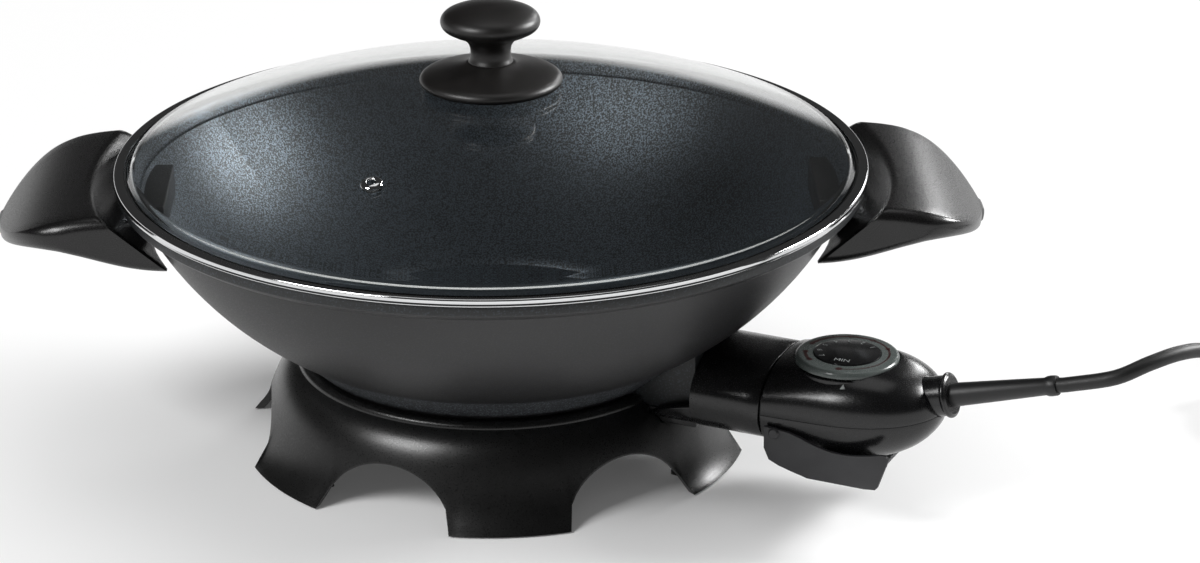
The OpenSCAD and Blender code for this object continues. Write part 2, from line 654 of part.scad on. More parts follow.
module each_post() {
    for (p = housing_posts, y = [-1, 1]) translate([p.x, y * p.y, 0]) {
        $middle = middle_height(p.x - sleeve_end);
        $low = $middle - inner_reach(p.x, p.y) - post_bite;
        $high = $middle + inner_reach(p.x, p.y) + post_bite;
        children();
    }
}

module housing_top() color("#161617") difference() {
    on_axis() difference() {
        union() {
            loft([for (s = housing_stations) shell_section(s, 1)]);
            translate([dial_x, 0, dial_seat - 3.6]) cylinder(r = dial_radius + 1.2, h = 3.6);
            translate([dial_x, 0, dial_seat - 12]) cylinder(r = shaft_diameter / 2 + 2.6, h = 12);
            each_post() translate([0, 0, $middle]) cylinder(r = post_radius, h = $high - $middle);
        }
        translate([dial_x, 0, dial_seat]) cylinder(r = dial_radius + part_gap, h = 20);
        translate([dial_x, 0, 0]) cylinder(d = shaft_diameter + 2 * run_fit, h = 100);
        each_post() translate([0, 0, $middle - cut]) cylinder(d = housing_screw + 2 * run_fit, h = 11);
    }
    collar_bore();
}

module housing_bottom() color("#161617") difference() {
    on_axis() difference() {
        union() {
            loft([for (s = housing_stations) shell_section(s, -1)]);
            each_post() translate([0, 0, $low]) cylinder(r = post_radius, h = $middle - $low);
            for (x = frame_feet) translate([x, 0, sleeve_height - housing_half_height + 1.5])
                cylinder(r = 3, h = frame_height - (sleeve_height - housing_half_height + 1.5) - seat_gap);
        }
        each_post() {
            cylinder(d = housing_screw + 2 * run_fit, h = 100);
            cylinder(r = 3.2, h = $low + head_pocket);
        }
        for (y = [-1, 1]) translate([lever_pivot.x, y * (housing_half_width - 4), lever_pivot.y])
            rotate([-90 * y, 0, 0]) cylinder(d = lever_pin + 2 * run_fit, h = 10);
    }
    collar_bore();
}

module housing_screws() color("#b9bcc0") on_axis() each_post()
    translate([0, 0, $low + head_pocket - seat_gap]) {
        cylinder(d = housing_screw, h = $middle + 9 - $low - head_pocket);
        mirror([0, 0, 1]) cylinder(d1 = 5.6, d2 = 4.6, h = 1.8);
    }

// ---------- inside the thermostat ----------
nose_start = sleeve_start + 12.5;
nose_half_width = housing_half_width - sleeve_wall - 1.6;
nose_half_height = sleeve_half_height - sleeve_wall - 1.6;
contact_outer = pin_diameter + 2 * run_fit + 2.4;
contact_start = nose_start + 1;
contact_end = nose_start + 26;
frame_height = 40;
frame_feet = [170, 196];
frame_sheet = 1.5;
frame_upright = 161.5;
frame_end = 200.5;
probe_tip = 88;
probe_end = 169;

module plug_nose() color("#1f1f20") on_axis() difference() {
    union() {
        oval_bar(nose_start, frame_upright - seat_gap, sleeve_height, nose_half_width, nose_half_height, sleeve_square);
        oval_bar(sleeve_end + part_gap, housing_start - seat_gap, sleeve_height,
            housing_half_width - 1.4, sleeve_half_height - 1.4, sleeve_square);
    }
    for (y = [-1, 1]) {
        bar_x(nose_start - cut, contact_end + 0.2, y * pin_spacing / 2, element_height, contact_outer + 2 * run_fit);
        bar_x(nose_start, frame_upright, y * pin_spacing / 2, element_height, 3);
    }
    bar_x(nose_start - cut, frame_upright, 0, probe_height, probe_diameter + 2 * run_fit);
}

module contact_sleeves() color("#c9a45a") on_axis() for (y = [-1, 1]) difference() {
    bar_x(contact_start, contact_end, y * pin_spacing / 2, element_height, contact_outer);
    bar_x(contact_start - cut, contact_end - 2, y * pin_spacing / 2, element_height, pin_diameter + 2 * run_fit);
}

module sensor_probe() color("#c4c6c9") on_axis() {
    bar_x(probe_tip + 2, probe_end, 0, probe_height, probe_diameter);
    translate([probe_tip, 0, probe_height]) rotate([0, 90, 0])
        cylinder(d1 = probe_diameter - 3, d2 = probe_diameter, h = 2);
    bar_x(probe_end, probe_end + 2, 0, probe_height, probe_diameter + 3);
}

module thermostat_frame() color("#a9adb1") on_axis() difference() {
    union() {
        translate([frame_upright, -11, frame_height]) cube([frame_end - frame_upright, 22, frame_sheet]);
        translate([frame_upright, -11, frame_height]) cube([frame_sheet, 22, 21]);
    }
    bar_x(frame_upright - cut, frame_upright + 3, 0, probe_height, probe_diameter + 2 * run_fit);
    for (x = frame_feet) translate([x, 0, frame_height - 1]) cylinder(d = 3, h = 5);
}

block_start = 193;
blade_height = 45.5;
blade_sheet = 0.8;
module switch_block() color("#e8e2d6") on_axis() difference() {
    translate([block_start, -7, frame_height + frame_sheet + seat_gap]) cube([10, 14, 10]);
    translate([block_start - 1, -3.2, blade_height - seat_gap]) cube([8, 6.4, blade_sheet + 2 * seat_gap]);
}

module bimetal_blade() color("#b7a27c") on_axis() {
    translate([172, -3, blade_height]) cube([block_start + 6 - 172, 6, blade_sheet]);
    translate([dial_x, 0, blade_height + blade_sheet]) cylinder(r = 1.5, h = shaft_low - blade_height - blade_sheet - seat_gap);
}

lamp_x = 172;
module pilot_lamp() color("#e07a3c") on_axis() translate([lamp_x, 8, frame_height + frame_sheet + seat_gap]) {
    cylinder(r = 2.4, h = 3);
    cylinder(r = 2, h = 16);
    translate([0, 0, 16]) sphere(r = 2, $fn = 32);
}

// ---------- dial ----------
disc_radius = dial_radius - 9.1;
disc_top = dial_low + 4;
ring_face = dial_low + 3.5;

module dial_disc() color("#0c0c0d") on_axis() translate([dial_x, 0, 0]) difference() {
    rotate_extrude() polygon([
        [0, dial_low], [disc_radius - 2, dial_low], [disc_radius - 2, dial_low + 1], [disc_radius, dial_low + 1],
        [disc_radius, disc_top - 0.5], [disc_radius - 0.5, disc_top], [0, disc_top]]);
    translate([0, 0, dial_low - cut]) cylinder(d = shaft_diameter + 2 * run_fit, h = 3);
}

module dial_ring() color("#3f4442") on_axis() translate([dial_x, 0, 0]) rotate_extrude() polygon([
    [disc_radius + seat_gap, dial_low + 1], [disc_radius + seat_gap, ring_face], [dial_radius - 2.6, ring_face],
    [dial_radius - 1, ring_face - 0.5], [dial_radius - 0.2, ring_face - 1.6], [dial_radius, dial_low + 0.4],
    [dial_radius - 0.5, dial_low], [disc_radius - 2 + seat_gap, dial_low], [disc_radius - 2 + seat_gap, dial_low + 1 - seat_gap],
    [disc_radius + seat_gap, dial_low + 1 - seat_gap]]);

module dial_shaft() color("#c4c6c9") on_axis() translate([dial_x, 0, 0]) {
    translate([0, 0, shaft_low]) cylinder(d = shaft_diameter, h = dial_low + 2.4 - shaft_low);
    translate([0, 0, shaft_low + 3]) cylinder(r = 6, h = 2.5);
}

// ---------- release lever ----------
lever_inner = housing_half_width + 0.7;
lever_sheet = 2;
lever_web_low = sleeve_height - housing_half_height - 2.8;
lever_outline = concat(
    [[158, 46.6], [158, 36], [160.5, 30.4], [165.5, 28.2], [172, 26.2], [180, lever_web_low]],
    [[208, lever_web_low], [213.6, lever_web_low + 0.6], [214.6, lever_web_low + 2], [219.8, 41.2], [218.4, 42.8]],
    bezier_line([[216, 42.7], [198, 38], [190, 38.4], [176, 44]], 8),
    [[170, 45.6]]);

module release_lever() color("#3a3a3c") on_axis() difference() {
    union() {
        for (side = [0, 1]) mirror([0, side, 0])
            translate([0, lever_inner + lever_sheet, 0]) rotate([90, 0, 0]) linear_extrude(lever_sheet) polygon(lever_outline);
        translate([180, -lever_inner - 0.5, lever_web_low]) cube([28, 2 * lever_inner + 1, 1.8]);
    }
    for (y = [-1, 1]) translate([lever_pivot.x, y * (lever_inner - 1), lever_pivot.y])
        rotate([-90 * y, 0, 0]) cylinder(d = lever_pin + 2 * run_fit, h = 10);
}

module lever_pins() color("#b9bcc0") on_axis() for (y = [-1, 1])
    translate([lever_pivot.x, y * (housing_half_width - 3.6), lever_pivot.y]) rotate([-90 * y, 0, 0]) {
        cylinder(d = lever_pin, h = 3.6 + lever_sheet + 0.7 + part_gap);
        translate([0, 0, 3.6 + lever_sheet + 0.7 + part_gap]) cylinder(d1 = lever_pin + 2.4, d2 = lever_pin + 1, h = 0.8);
    }

// ---------- lead ----------
module cord_collar() color("#141415") at_exit() rotate([0, 90, 0]) rotate_extrude() polygon([
    [relief_back_radius + 0.1, -collar_back], [collar_radius, -collar_back], [collar_radius, collar_front - 3.2],
    [collar_radius + 0.9, collar_front - 2.6], [collar_radius + 1.1, collar_front - 1.2],
    [collar_radius + 0.4, collar_front], [relief_back_radius + 0.1, collar_front]]);

relief_back_radius = cord_diameter / 2 + 2;
relief_tip_radius = cord_diameter / 2 + 0.9;
module strain_relief() color("#161617") at_exit() rotate([0, 90, 0]) rotate_extrude() polygon([
    [0, -collar_back], [relief_back_radius, -collar_back], [relief_back_radius, collar_front],
    [relief_back_radius, collar_front + 4], [relief_tip_radius - 0.3, collar_front + relief_length - 6],
    [relief_tip_radius + 0.3, collar_front + relief_length - 4], [relief_tip_radius + 0.3, collar_front + relief_length - 1],
    [relief_tip_radius, collar_front + relief_length], [0, collar_front + relief_length]]);

// The lead leaves the strain relief along the thermostat's own line
cord_way = [cos(exit_tilt) * cos(axis_turn), -cos(exit_tilt) * sin(axis_turn), sin(exit_tilt)];
cord_start = [exit_x * cos(axis_turn), -exit_x * sin(axis_turn), exit_height]
    + (collar_front + relief_length) * cord_way;
coil_middle = [404, 0];
coil_outer = 46.5;
coil_pitch = cord_diameter + 0.6;
coil_lift = 1.1;
coil_turns = 4.25;
coil_begin = -65;
coil_low = cord_diameter / 2 + coil_lift;
coil_start = [coil_middle.x + coil_outer * cos(coil_begin), coil_middle.y + coil_outer * sin(coil_begin), coil_low];
coil_way = [-sin(coil_begin), cos(coil_begin), 0];
// Points that the lead passes through on its way down to the coil
cord_route = [
    [280, -141, 85], [296, -137, 90], [311, -128, 91], [325, -116, 87], [339, -104, 77],
    [353, -93, 63], [368, -82, 46], [383, -71, 29], [397, -60, 14]
];
cord_points = concat(
    [cord_start, cord_start + cord_diameter * cord_way],
    cord_route,
    [coil_start - 1.6 * cord_diameter * coil_way + [0, 0, 0.5], coil_start]);

// A smooth curve through a list of points, with k steps between two of them
function smooth_at(p, i, t) = let (
    a = p[max(0, i - 1)],
    b = p[i],
    c = p[i + 1],
    d = p[min(len(p) - 1, i + 2)])
    (2 * b + (c - a) * t + (2 * a - 5 * b + 4 * c - d) * t * t + (3 * b - a - 3 * c + d) * t * t * t) / 2;
function smooth_line(p, k) = concat(
    [for (i = [0 : len(p) - 2], j = [0 : k - 1]) smooth_at(p, i, j / k)], [p[len(p) - 1]]);

// Rings of the given number of sides, square to a line of points
function rings(p, r, sides, first_way, last_way) = [for (i = [0 : len(p) - 1]) let (
    way = i == 0 ? first_way : i == len(p) - 1 ? last_way : p[i + 1] - p[i - 1],
    t = way / norm(way),
    across = cross([0, 0, 1], t) / norm(cross([0, 0, 1], t)),
    up = cross(t, across))
    [for (k = [0 : sides - 1]) let (a = 360 * (k + 0.5) / sides) p[i] + r * (cos(a) * across + sin(a) * up)]];

module cord() color("#151515") loft(rings(smooth_line(cord_points, 2), cord_diameter / 2, 10, cord_way, coil_way));

// The coil spirals in on the table, climbs one layer at its middle and spirals out on top
coil_end = coil_turns * 360;
tail_run = 34;
plug_height = 18.6;
function ease(t) = let (u = max(0, min(1, t))) u * u * (3 - 2 * u);
function coil_point(a) = let (
    r = coil_outer - coil_pitch * min(a, coil_end - a) / 360,
    z = coil_low + coil_pitch * ease((a - coil_end / 2 + 90) / 180))
    [coil_middle.x + r * cos(coil_begin + a), coil_middle.y + r * sin(coil_begin + a), z];
tail_way = [-sin(coil_begin + coil_end), cos(coil_begin + coil_end), 0];
tail_start = coil_point(coil_end);
function tail_point(d) = [tail_start.x + d * tail_way.x, tail_start.y + d * tail_way.y,
    mix(tail_start.z, plug_height, ease((d - 2) / (tail_run - 8)))];
coil_points = concat(
    [for (i = [0 : coil_turns * 24]) coil_point(15 * i)],
    [for (i = [1 : 6]) tail_point(tail_run * i / 6)]);
coil_gap = min([for (i = [0 : len(coil_points) - 1]) for (j = [i + 12 : 1 : len(coil_points) - 1])
    norm(coil_points[i] - coil_points[j])]) - cord_diameter;
echo(coil_gap = coil_gap);

module cord_coil() color("#151515") loft(rings(coil_points, cord_diameter / 2, 6, coil_way, tail_way));

tie_turn = 150;
tie_sheet = 0.8;
tie_inner = coil_outer - coil_pitch * coil_turns / 2 - cord_diameter / 2 - 0.3;
tie_outer = coil_outer + cord_diameter / 2 + 0.3;
tie_high = coil_low + coil_pitch + cord_diameter / 2 + 0.3;
module coil_tie() color("#101010") translate([coil_middle.x, coil_middle.y, 0]) rotate([0, 0, tie_turn])
    rotate([90, 0, 0]) translate([0, 0, -5]) linear_extrude(10) difference() {
        translate([tie_inner - tie_sheet, 0]) square([tie_outer - tie_inner + 2 * tie_sheet, tie_high + tie_sheet]);
        translate([tie_inner, tie_sheet]) square([tie_outer - tie_inner, tie_high - tie_sheet]);
    }

// Puts its children at the end of the coil's tail, with x along the lead
module at_plug() {
    translate([tail_point(tail_run).x, tail_point(tail_run).y, plug_height])
        rotate([0, 0, coil_begin + coil_end + 90]) children();
}
plug_radius = 18.4;
plug_face = 52;
module mains_plug() color("#141414") at_plug() difference() {
    rotate([0, 90, 0]) rotate_extrude() polygon([
        [0, 0], [4.3, 0], [5, 1], [6, 16], [8.5, 19], [13, 22], [16, 26], [17, 32], [16.4, 38],
        [16.6, 42], [plug_radius, 45], [plug_radius, plug_face - 1], [plug_radius - 1, plug_face], [0, plug_face]]);
    for (y = [-1, 1]) bar_x(plug_face - 8, plug_face + cut, y * 9.5, 0, 4.9);
}

module plug_pins() color("#c4c6c9") at_plug() for (y = [-1, 1]) {
    bar_x(plug_face - 7.8, plug_face + 17.5, y * 9.5, 0, 4.8);
    translate([plug_face + 17.5, y * 9.5, 0]) rotate([0, 90, 0]) cylinder(d1 = 4.8, d2 = 2.6, h = 1.5);
}

pan();
heating_element();
terminal_pins();
terminal_insulators();
probe_guide();
left_handle();
right_handle();
left_handle_bracket();
right_handle_bracket();
handle_screws();
stand();
rubber_feet();
stand_screws();
socket_sleeve();
sleeve_screws();
lid_glass();
lid_rim();
vent_eyelet();
knob_skirt();
knob();
knob_screw();
knob_washer();
housing_top();
housing_bottom();
plug_nose();
contact_sleeves();
sensor_probe();
thermostat_frame();
switch_block();
bimetal_blade();
pilot_lamp();
housing_screws();
dial_disc();
dial_ring();
dial_shaft();
release_lever();
lever_pins();
cord_collar();
strain_relief();
cord();
cord_coil();
coil_tie();
mains_plug();
plug_pins();
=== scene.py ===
# Electric wok: the camera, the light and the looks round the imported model.
# Lengths in the dictionaries are millimetres and angles are degrees, unless a note says otherwise.

import math

import bmesh
import bpy
from mathutils import Matrix, Vector, geometry


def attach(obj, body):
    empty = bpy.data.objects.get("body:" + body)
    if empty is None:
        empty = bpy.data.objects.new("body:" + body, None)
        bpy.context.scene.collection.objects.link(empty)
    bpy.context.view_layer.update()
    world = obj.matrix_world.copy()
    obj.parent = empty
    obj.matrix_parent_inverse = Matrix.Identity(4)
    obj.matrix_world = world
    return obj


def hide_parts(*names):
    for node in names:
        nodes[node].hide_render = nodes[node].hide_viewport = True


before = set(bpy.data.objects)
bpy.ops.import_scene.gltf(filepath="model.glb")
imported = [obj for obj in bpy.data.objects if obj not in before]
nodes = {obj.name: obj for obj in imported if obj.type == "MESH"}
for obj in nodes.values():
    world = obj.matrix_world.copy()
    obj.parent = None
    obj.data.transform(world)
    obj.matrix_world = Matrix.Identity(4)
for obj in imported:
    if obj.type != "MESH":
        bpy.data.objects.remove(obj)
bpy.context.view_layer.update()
scene = bpy.context.scene
mm = 0.001
fullTurn = 2 * math.pi
axisTurn = -27  # the thermostat's axis, turned from +X
axisPlace = Matrix.Rotation(math.radians(axisTurn), 4, "Z")
roundSteps = 192  # faces round the bowl, the lid and its rim
print("frame loaded:", len(nodes), "nodes")

photoCamera = {
    "focalPixels": 3693.858,
    "photoWidth": 1200,
    "elevation": 19.912,
    "distance": 1769.817,
    "aimHeight": 142.4,
    "yaw": 1.653,
    "pitch": -1.927,
    "roll": -0.046,
}


def makeCamera(c):
    tilt = math.radians(c["elevation"])
    back, up = c["distance"] * math.cos(tilt), c["distance"] * math.sin(tilt)
    place = Vector((0, -back, up + c["aimHeight"])) * mm
    look = Vector((math.tan(math.radians(c["yaw"])), math.cos(tilt), -math.sin(tilt)))
    look += math.tan(math.radians(c["pitch"])) * Vector((0, math.sin(tilt), math.cos(tilt)))
    look.normalize()
    right = look.cross(Vector((0, 0, 1))).normalized()
    top = right.cross(look)
    roll = math.radians(c["roll"])
    across = right * math.cos(roll) + top * math.sin(roll)
    upright = top * math.cos(roll) - right * math.sin(roll)
    data = bpy.data.cameras.new("photoCamera")
    data.sensor_fit = "HORIZONTAL"
    data.sensor_width = 36
    data.lens = c["focalPixels"] / c["photoWidth"] * 36
    camera = bpy.data.objects.new("photoCamera", data)
    camera.matrix_world = Matrix.Translation(place) @ Matrix((across, upright, -look)).transposed().to_4x4()
    scene.collection.objects.link(camera)
    scene.camera = camera


makeCamera(photoCamera)
print("camera placed")


def linear(hexText):  # sRGB hex to the linear values that the shaders take
    parts = [int(hexText[i : i + 2], 16) / 255 for i in (1, 3, 5)]
    return tuple(c / 12.92 if c <= 0.04045 else ((c + 0.055) / 1.055) ** 2.4 for c in parts) + (1.0,)


def perSize(size):  # the texture scale that gives features of about this many millimetres
    return 1 / (size * mm)


def addNode(tree, kind, values=None, links=None, **settings):
    node = tree.nodes.new(kind)
    for key, value in settings.items():
        setattr(node, key, value)
    for key, value in (values or {}).items():
        node.inputs[key].default_value = value
    for key, (source, output) in (links or {}).items():
        tree.links.new(source.outputs[output], node.inputs[key])
    return node


def startMaterial(name):
    material = bpy.data.materials.new(name)
    material.use_nodes = True
    material.node_tree.nodes.clear()
    return material, material.node_tree, addNode(material.node_tree, "ShaderNodeTexCoord")


# Plastic as it leaves the mould: a faint flow mottle in the colour, and a spark-eroded grain
# that breaks the gloss
def mouldedPlastic(name, dark, light, roughness, grain=0.5, depth=0.01, mottle=9):
    material, tree, place = startMaterial(name)
    place = {"Vector": (place, "Object")}
    flow = addNode(tree, "ShaderNodeTexNoise", {"Scale": perSize(mottle), "Detail": 3}, place)
    share = addNode(tree, "ShaderNodeMapRange", {"From Min": 0.35, "From Max": 0.65}, {"Value": (flow, 0)})
    colours = {6: linear(dark), 7: linear(light)}
    tint = addNode(tree, "ShaderNodeMix", colours, {0: (share, 0)}, data_type="RGBA")
    spark = addNode(tree, "ShaderNodeTexNoise", {"Scale": perSize(grain), "Detail": 1}, place)
    spread = {"From Min": 0.3, "From Max": 0.7, "To Min": roughness - 0.05, "To Max": roughness + 0.05}
    gloss = addNode(tree, "ShaderNodeMapRange", spread, {"Value": (spark, 0)})
    bump = addNode(tree, "ShaderNodeBump", {"Distance": depth * mm}, {"Height": (spark, 0)})
    ends = {"Base Color": (tint, 2), "Roughness": (gloss, 0), "Normal": (bump, 0)}
    shader = addNode(tree, "ShaderNodeBsdfPrincipled", {"IOR": 1.5}, ends)
    addNode(tree, "ShaderNodeOutputMaterial", links={"Surface": (shader, 0)})
    return material


# Sprayed nonstick on cast aluminium: charcoal, satin, with metal flecks and a fine orange peel
def sprayedCoat(name, dark, fleck, roughness, metallic, size, start, depth):
    material, tree, place = startMaterial(name)
    grain = {"Scale": perSize(size), "Detail": 1}
    spray = addNode(tree, "ShaderNodeTexNoise", grain, {"Vector": (place, "Object")})
    edge = {"From Min": start, "From Max": start + 0.16}
    flecks = addNode(tree, "ShaderNodeMapRange", edge, {"Value": (spray, 0)})
    colours = {6: linear(dark), 7: linear(fleck)}
    tint = addNode(tree, "ShaderNodeMix", colours, {0: (flecks, 0)}, data_type="RGBA")
    spread = {"To Min": roughness, "To Max": roughness - 0.08}
    gloss = addNode(tree, "ShaderNodeMapRange", spread, {"Value": (flecks, 0)})
    shine = addNode(tree, "ShaderNodeMapRange", {"To Max": metallic}, {"Value": (flecks, 0)})
    bump = addNode(tree, "ShaderNodeBump", {"Distance": depth * mm}, {"Height": (spray, 0)})
    ends = {"Base Color": (tint, 2), "Metallic": (shine, 0), "Roughness": (gloss, 0), "Normal": (bump, 0)}
    shader = addNode(tree, "ShaderNodeBsdfPrincipled", {"IOR": 1.5}, ends)
    addNode(tree, "ShaderNodeOutputMaterial", links={"Surface": (shader, 0)})
    return material


# Bare or plated metal: its own colour, with fine rub marks that change the gloss a little
def bareMetal(name, colour, roughness):
    material, tree, place = startMaterial(name)
    rubs = {"Scale": perSize(0.6), "Detail": 2}
    marks = addNode(tree, "ShaderNodeTexNoise", rubs, {"Vector": (place, "Object")})
    low, high = max(roughness - 0.05, 0.02), roughness + 0.05
    spread = {"From Min": 0.3, "From Max": 0.7, "To Min": low, "To Max": high}
    gloss = addNode(tree, "ShaderNodeMapRange", spread, {"Value": (marks, 0)})
    values = {"Metallic": 1.0, "Base Color": linear(colour)}
    shader = addNode(tree, "ShaderNodeBsdfPrincipled", values, {"Roughness": (gloss, 0)})
    addNode(tree, "ShaderNodeOutputMaterial", links={"Surface": (shader, 0)})
    return material


# Clear glass, whose surface waves very slightly from the press; lamps shine through it
def pressedGlass(name, colour):
    material, tree, place = startMaterial(name)
    ripple = {"Scale": perSize(40), "Detail": 1}
    wave = addNode(tree, "ShaderNodeTexNoise", ripple, {"Vector": (place, "Object")})
    gloss = addNode(tree, "ShaderNodeMapRange", {"To Min": 0.0, "To Max": 0.02}, {"Value": (wave, 0)})
    values = {"Transmission Weight": 1.0, "IOR": 1.5, "Base Color": linear(colour)}
    shader = addNode(tree, "ShaderNodeBsdfPrincipled", values, {"Roughness": (gloss, 0)})
    path = addNode(tree, "ShaderNodeLightPath")
    clear = addNode(tree, "ShaderNodeBsdfTransparent", {"Color": linear("#F8F9F9")})
    both = {0: (path, "Is Shadow Ray"), 1: (shader, 0), 2: (clear, 0)}
    mix = addNode(tree, "ShaderNodeMixShader", links=both)
    addNode(tree, "ShaderNodeOutputMaterial", links={"Surface": (mix, 0)})
    return material


# Satin blue-black inside the bowl, which blooms where a lamp meets it. The real grain is finer:
# it is drawn at 0.8 mm so that it shows
bowlCoat = sprayedCoat("sprayedNonstickInside", "#0B0E10", "#747D87", 0.37, 1.0, 0.8, 0.45, 0.04)
# Plain satin charcoal on the outer wall, with no sparkle to speak of
wallCoat = sprayedCoat("sprayedSiliconeOutside", "#19191A", "#2C2C2E", 0.46, 0.2, 0.7, 0.52, 0.012)
# Rough-cast rim and boss, with small grey flecks
bandCoat = sprayedCoat("sprayedCoatOnRoughCasting", "#121415", "#3A3E43", 0.5, 0.4, 0.9, 0.55, 0.05)
# The foot ring: the rough-cast coat with its own flecks, but with a lighter base and brighter flecks that
# are painted light, lifting the ring out of the shade under the bowl
footCoatPaintedLight = sprayedCoat("sprayedCoatOnCastFootPaintedLight", "#26282A", "#72777D", 0.5, 0.5, 0.9, 0.52, 0.05)
# Pressed phenolic of the grips: black, smooth, a soft sheen
handlePhenolic = mouldedPlastic("pressedPhenolicGrip", "#0B0B0B", "#0F0E0F", 0.29, 0.5, 0.006)
# The same resin with a fine matt grain, on the stand
standPhenolic = mouldedPlastic("pressedPhenolicStand", "#0B0B0B", "#0F0F0F", 0.31, 0.6, 0.008)
# Smoother and glossier, on the sleeve
sleevePlastic = mouldedPlastic("polishedPhenolicSleeve", "#0C0C0D", "#0F0F10", 0.24, 0.6, 0.003)
# Satin black shell of the thermostat, with long soft highlights
housingPlastic = mouldedPlastic("mouldedNylonHousing", "#0C0C0D", "#101011", 0.24, 0.5, 0.004)
# Dull heat-resisting resin round the contacts
nosePlastic = mouldedPlastic("mouldedPolyesterNose", "#1D1D1E", "#232324", 0.5)
# Warm brown-black of the knob and its skirt
knobPhenolic = mouldedPlastic("pressedPhenolicKnob", "#0E0C0B", "#131110", 0.42, 0.5, 0.012)
# Flat dark grey, nearly without gloss
leverNylon = mouldedPlastic("mattMouldedNylonLever", "#242426", "#29292B", 0.48, 0.5, 0.01)
# Dull black sheath of the lead
leadRubber = mouldedPlastic("extrudedRubberLead", "#0D0D0D", "#111111", 0.52, 0.8, 0.01)
# The relief, a touch smoother than the lead
reliefRubber = mouldedPlastic("mouldedRubberRelief", "#0D0D0E", "#101011", 0.46, 0.6, 0.008)
# The plug and the tie
plugRubber = mouldedPlastic("mouldedVinylPlug", "#121212", "#171717", 0.5, 0.6, 0.012)
# Soft dull feet
footRubber = mouldedPlastic("mouldedRubberFoot", "#0E0E0E", "#121212", 0.7, 0.8, 0.02)
# Grey washer under the knob
washerSilicone = mouldedPlastic("pressedSiliconeWasher", "#333333", "#383838", 0.6, 0.8)
# Glazed cream ceramic
ceramic = mouldedPlastic("glazedSteatite", "#E3DDD0", "#EAE5D9", 0.2, 1.5, 0.004)
# Glossy black middle of the dial
dialBlack = mouldedPlastic("glossMouldedDial", "#0B0B0C", "#0E0E0F", 0.2, 0.6, 0.002)
# Smoked grey-green ring of the dial
dialSmoke = mouldedPlastic("smokedPolycarbonateRing", "#4C5250", "#545A58", 0.24, 0.6, 0.002)
# Stamped grey figures and pointer
dialInk = mouldedPlastic("hotStampedGrey", "#888C8B", "#939796", 0.45, 0.6, 0.002)
# Stamped dark red scale
dialRed = mouldedPlastic("hotStampedRed", "#2A0D0B", "#34100E", 0.35, 0.6, 0.002)
# Bright polished rim and eyelet
polishedSteel = bareMetal("polishedStainlessSteel", "#DADBDC", 0.08)
# Duller fixings
platedSteel = bareMetal("zincPlatedSteel", "#B7BABD", 0.32)
# Screws that hardly show beside the black plastic
blackSteel = bareMetal("blackOxideSteel", "#26262A", 0.45)
# Sheath that has gone dull grey with heat
heaterSteel = bareMetal("heatDulledSteelSheath", "#6A6663", 0.5)
pinNickel = bareMetal("nickelPlatedBrass", "#C9C8C4", 0.2)  # pale warm shine
brass = bareMetal("rolledBrass", "#C6A25A", 0.3)  # yellow spring contacts
bimetal = bareMetal("rolledBimetalStrip", "#B0A080", 0.35)  # straw-coloured blade
# Nearly colourless lid, grey-green where it is seen edge on
lidGlass = pressedGlass("temperedSodaLimeGlass", "#F7F9F8")
lampGlass = pressedGlass("orangeNeonGlass", "#E8863F")  # small neon lamp inside the housing
print("materials made:", len(bpy.data.materials))


def faceOut(bm):  # an open skin may come out facing inwards, so it is turned by what most of it faces
    bmesh.ops.recalc_face_normals(bm, faces=bm.faces)
    if any(len(e.link_faces) == 1 for e in bm.edges):
        middle = sum((v.co for v in bm.verts), Vector()) / len(bm.verts)
        if sum(f.normal.dot(f.calc_center_median() - middle) * f.calc_area() for f in bm.faces) < 0:
            bmesh.ops.reverse_faces(bm, faces=bm.faces)


def finishPiece(name, bm, materials, body, slotName, hides=(), angle=35):
    bmesh.ops.remove_doubles(bm, verts=bm.verts, dist=1e-6)
    faceOut(bm)
    mesh = bpy.data.meshes.new(name)
    bm.to_mesh(mesh)
    bm.free()
    for material in materials:
        mesh.materials.append(material)
    mesh.shade_smooth()
    mesh.set_sharp_from_angle(angle=math.radians(angle))
    piece = bpy.data.objects.new(name, mesh)
    scene.collection.objects.link(piece)
    if body:
        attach(piece, body)
        if hides:
            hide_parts(*hides)
    return piece


def lathe(profile, steps, closed=False):  # profile: radius and height in millimetres
    bm = bmesh.new()
    line = [bm.verts.new((r * mm, 0, z * mm)) for r, z in profile]
    for a, b in zip(line, line[1:] + (line[:1] if closed else [])):
        bm.edges.new((a, b))
    around = {"axis": (0, 0, 1), "cent": (0, 0, 0), "angle": fullTurn}
    bmesh.ops.spin(bm, geom=bm.verts[:] + bm.edges[:], steps=steps, use_merge=True, **around)
    return bm


def moveAll(bm, place):
    bmesh.ops.transform(bm, matrix=place, verts=bm.verts)
    return bm


# A skin over rings of points in millimetres, each made from the last by an extrusion
def skin(rings, capFirst=False, capLast=False, openRing=False):
    bm = bmesh.new()
    count = len(rings[0])
    made = bmesh.ops.create_circle(bm, segments=count, radius=mm)
    loop = made["verts"]
    if openRing:
        gap = [e for e in loop[0].link_edges if e.other_vert(loop[0]) is loop[-1]]
        bmesh.ops.delete(bm, geom=gap, context="EDGES")
    for vert, point in zip(loop, rings[0]):
        vert.co = Vector(point) * mm
    edges = bm.edges[:]
    if capFirst:
        bmesh.ops.contextual_create(bm, geom=edges)
    for ring in rings[1:]:
        order = {v: i for i, v in enumerate(loop)}
        bmesh.ops.extrude_edge_only(bm, edges=edges)
        bm.verts.ensure_lookup_table()
        fresh = bm.verts[-count:]
        old = [None] * count
        for vert in fresh:
            for edge in vert.link_edges:
                other = edge.other_vert(vert)
                if other in order:
                    old[order[other]] = vert
        loop = old
        for vert, point in zip(loop, ring):
            vert.co = Vector(point) * mm
        held = set(loop)
        bm.edges.index_update()
        near = sorted({e for v in loop for e in v.link_edges}, key=lambda e: e.index)
        edges = [e for e in near if e.verts[0] in held and e.verts[1] in held]
    if capLast:
        bmesh.ops.contextual_create(bm, geom=edges)
    return bm


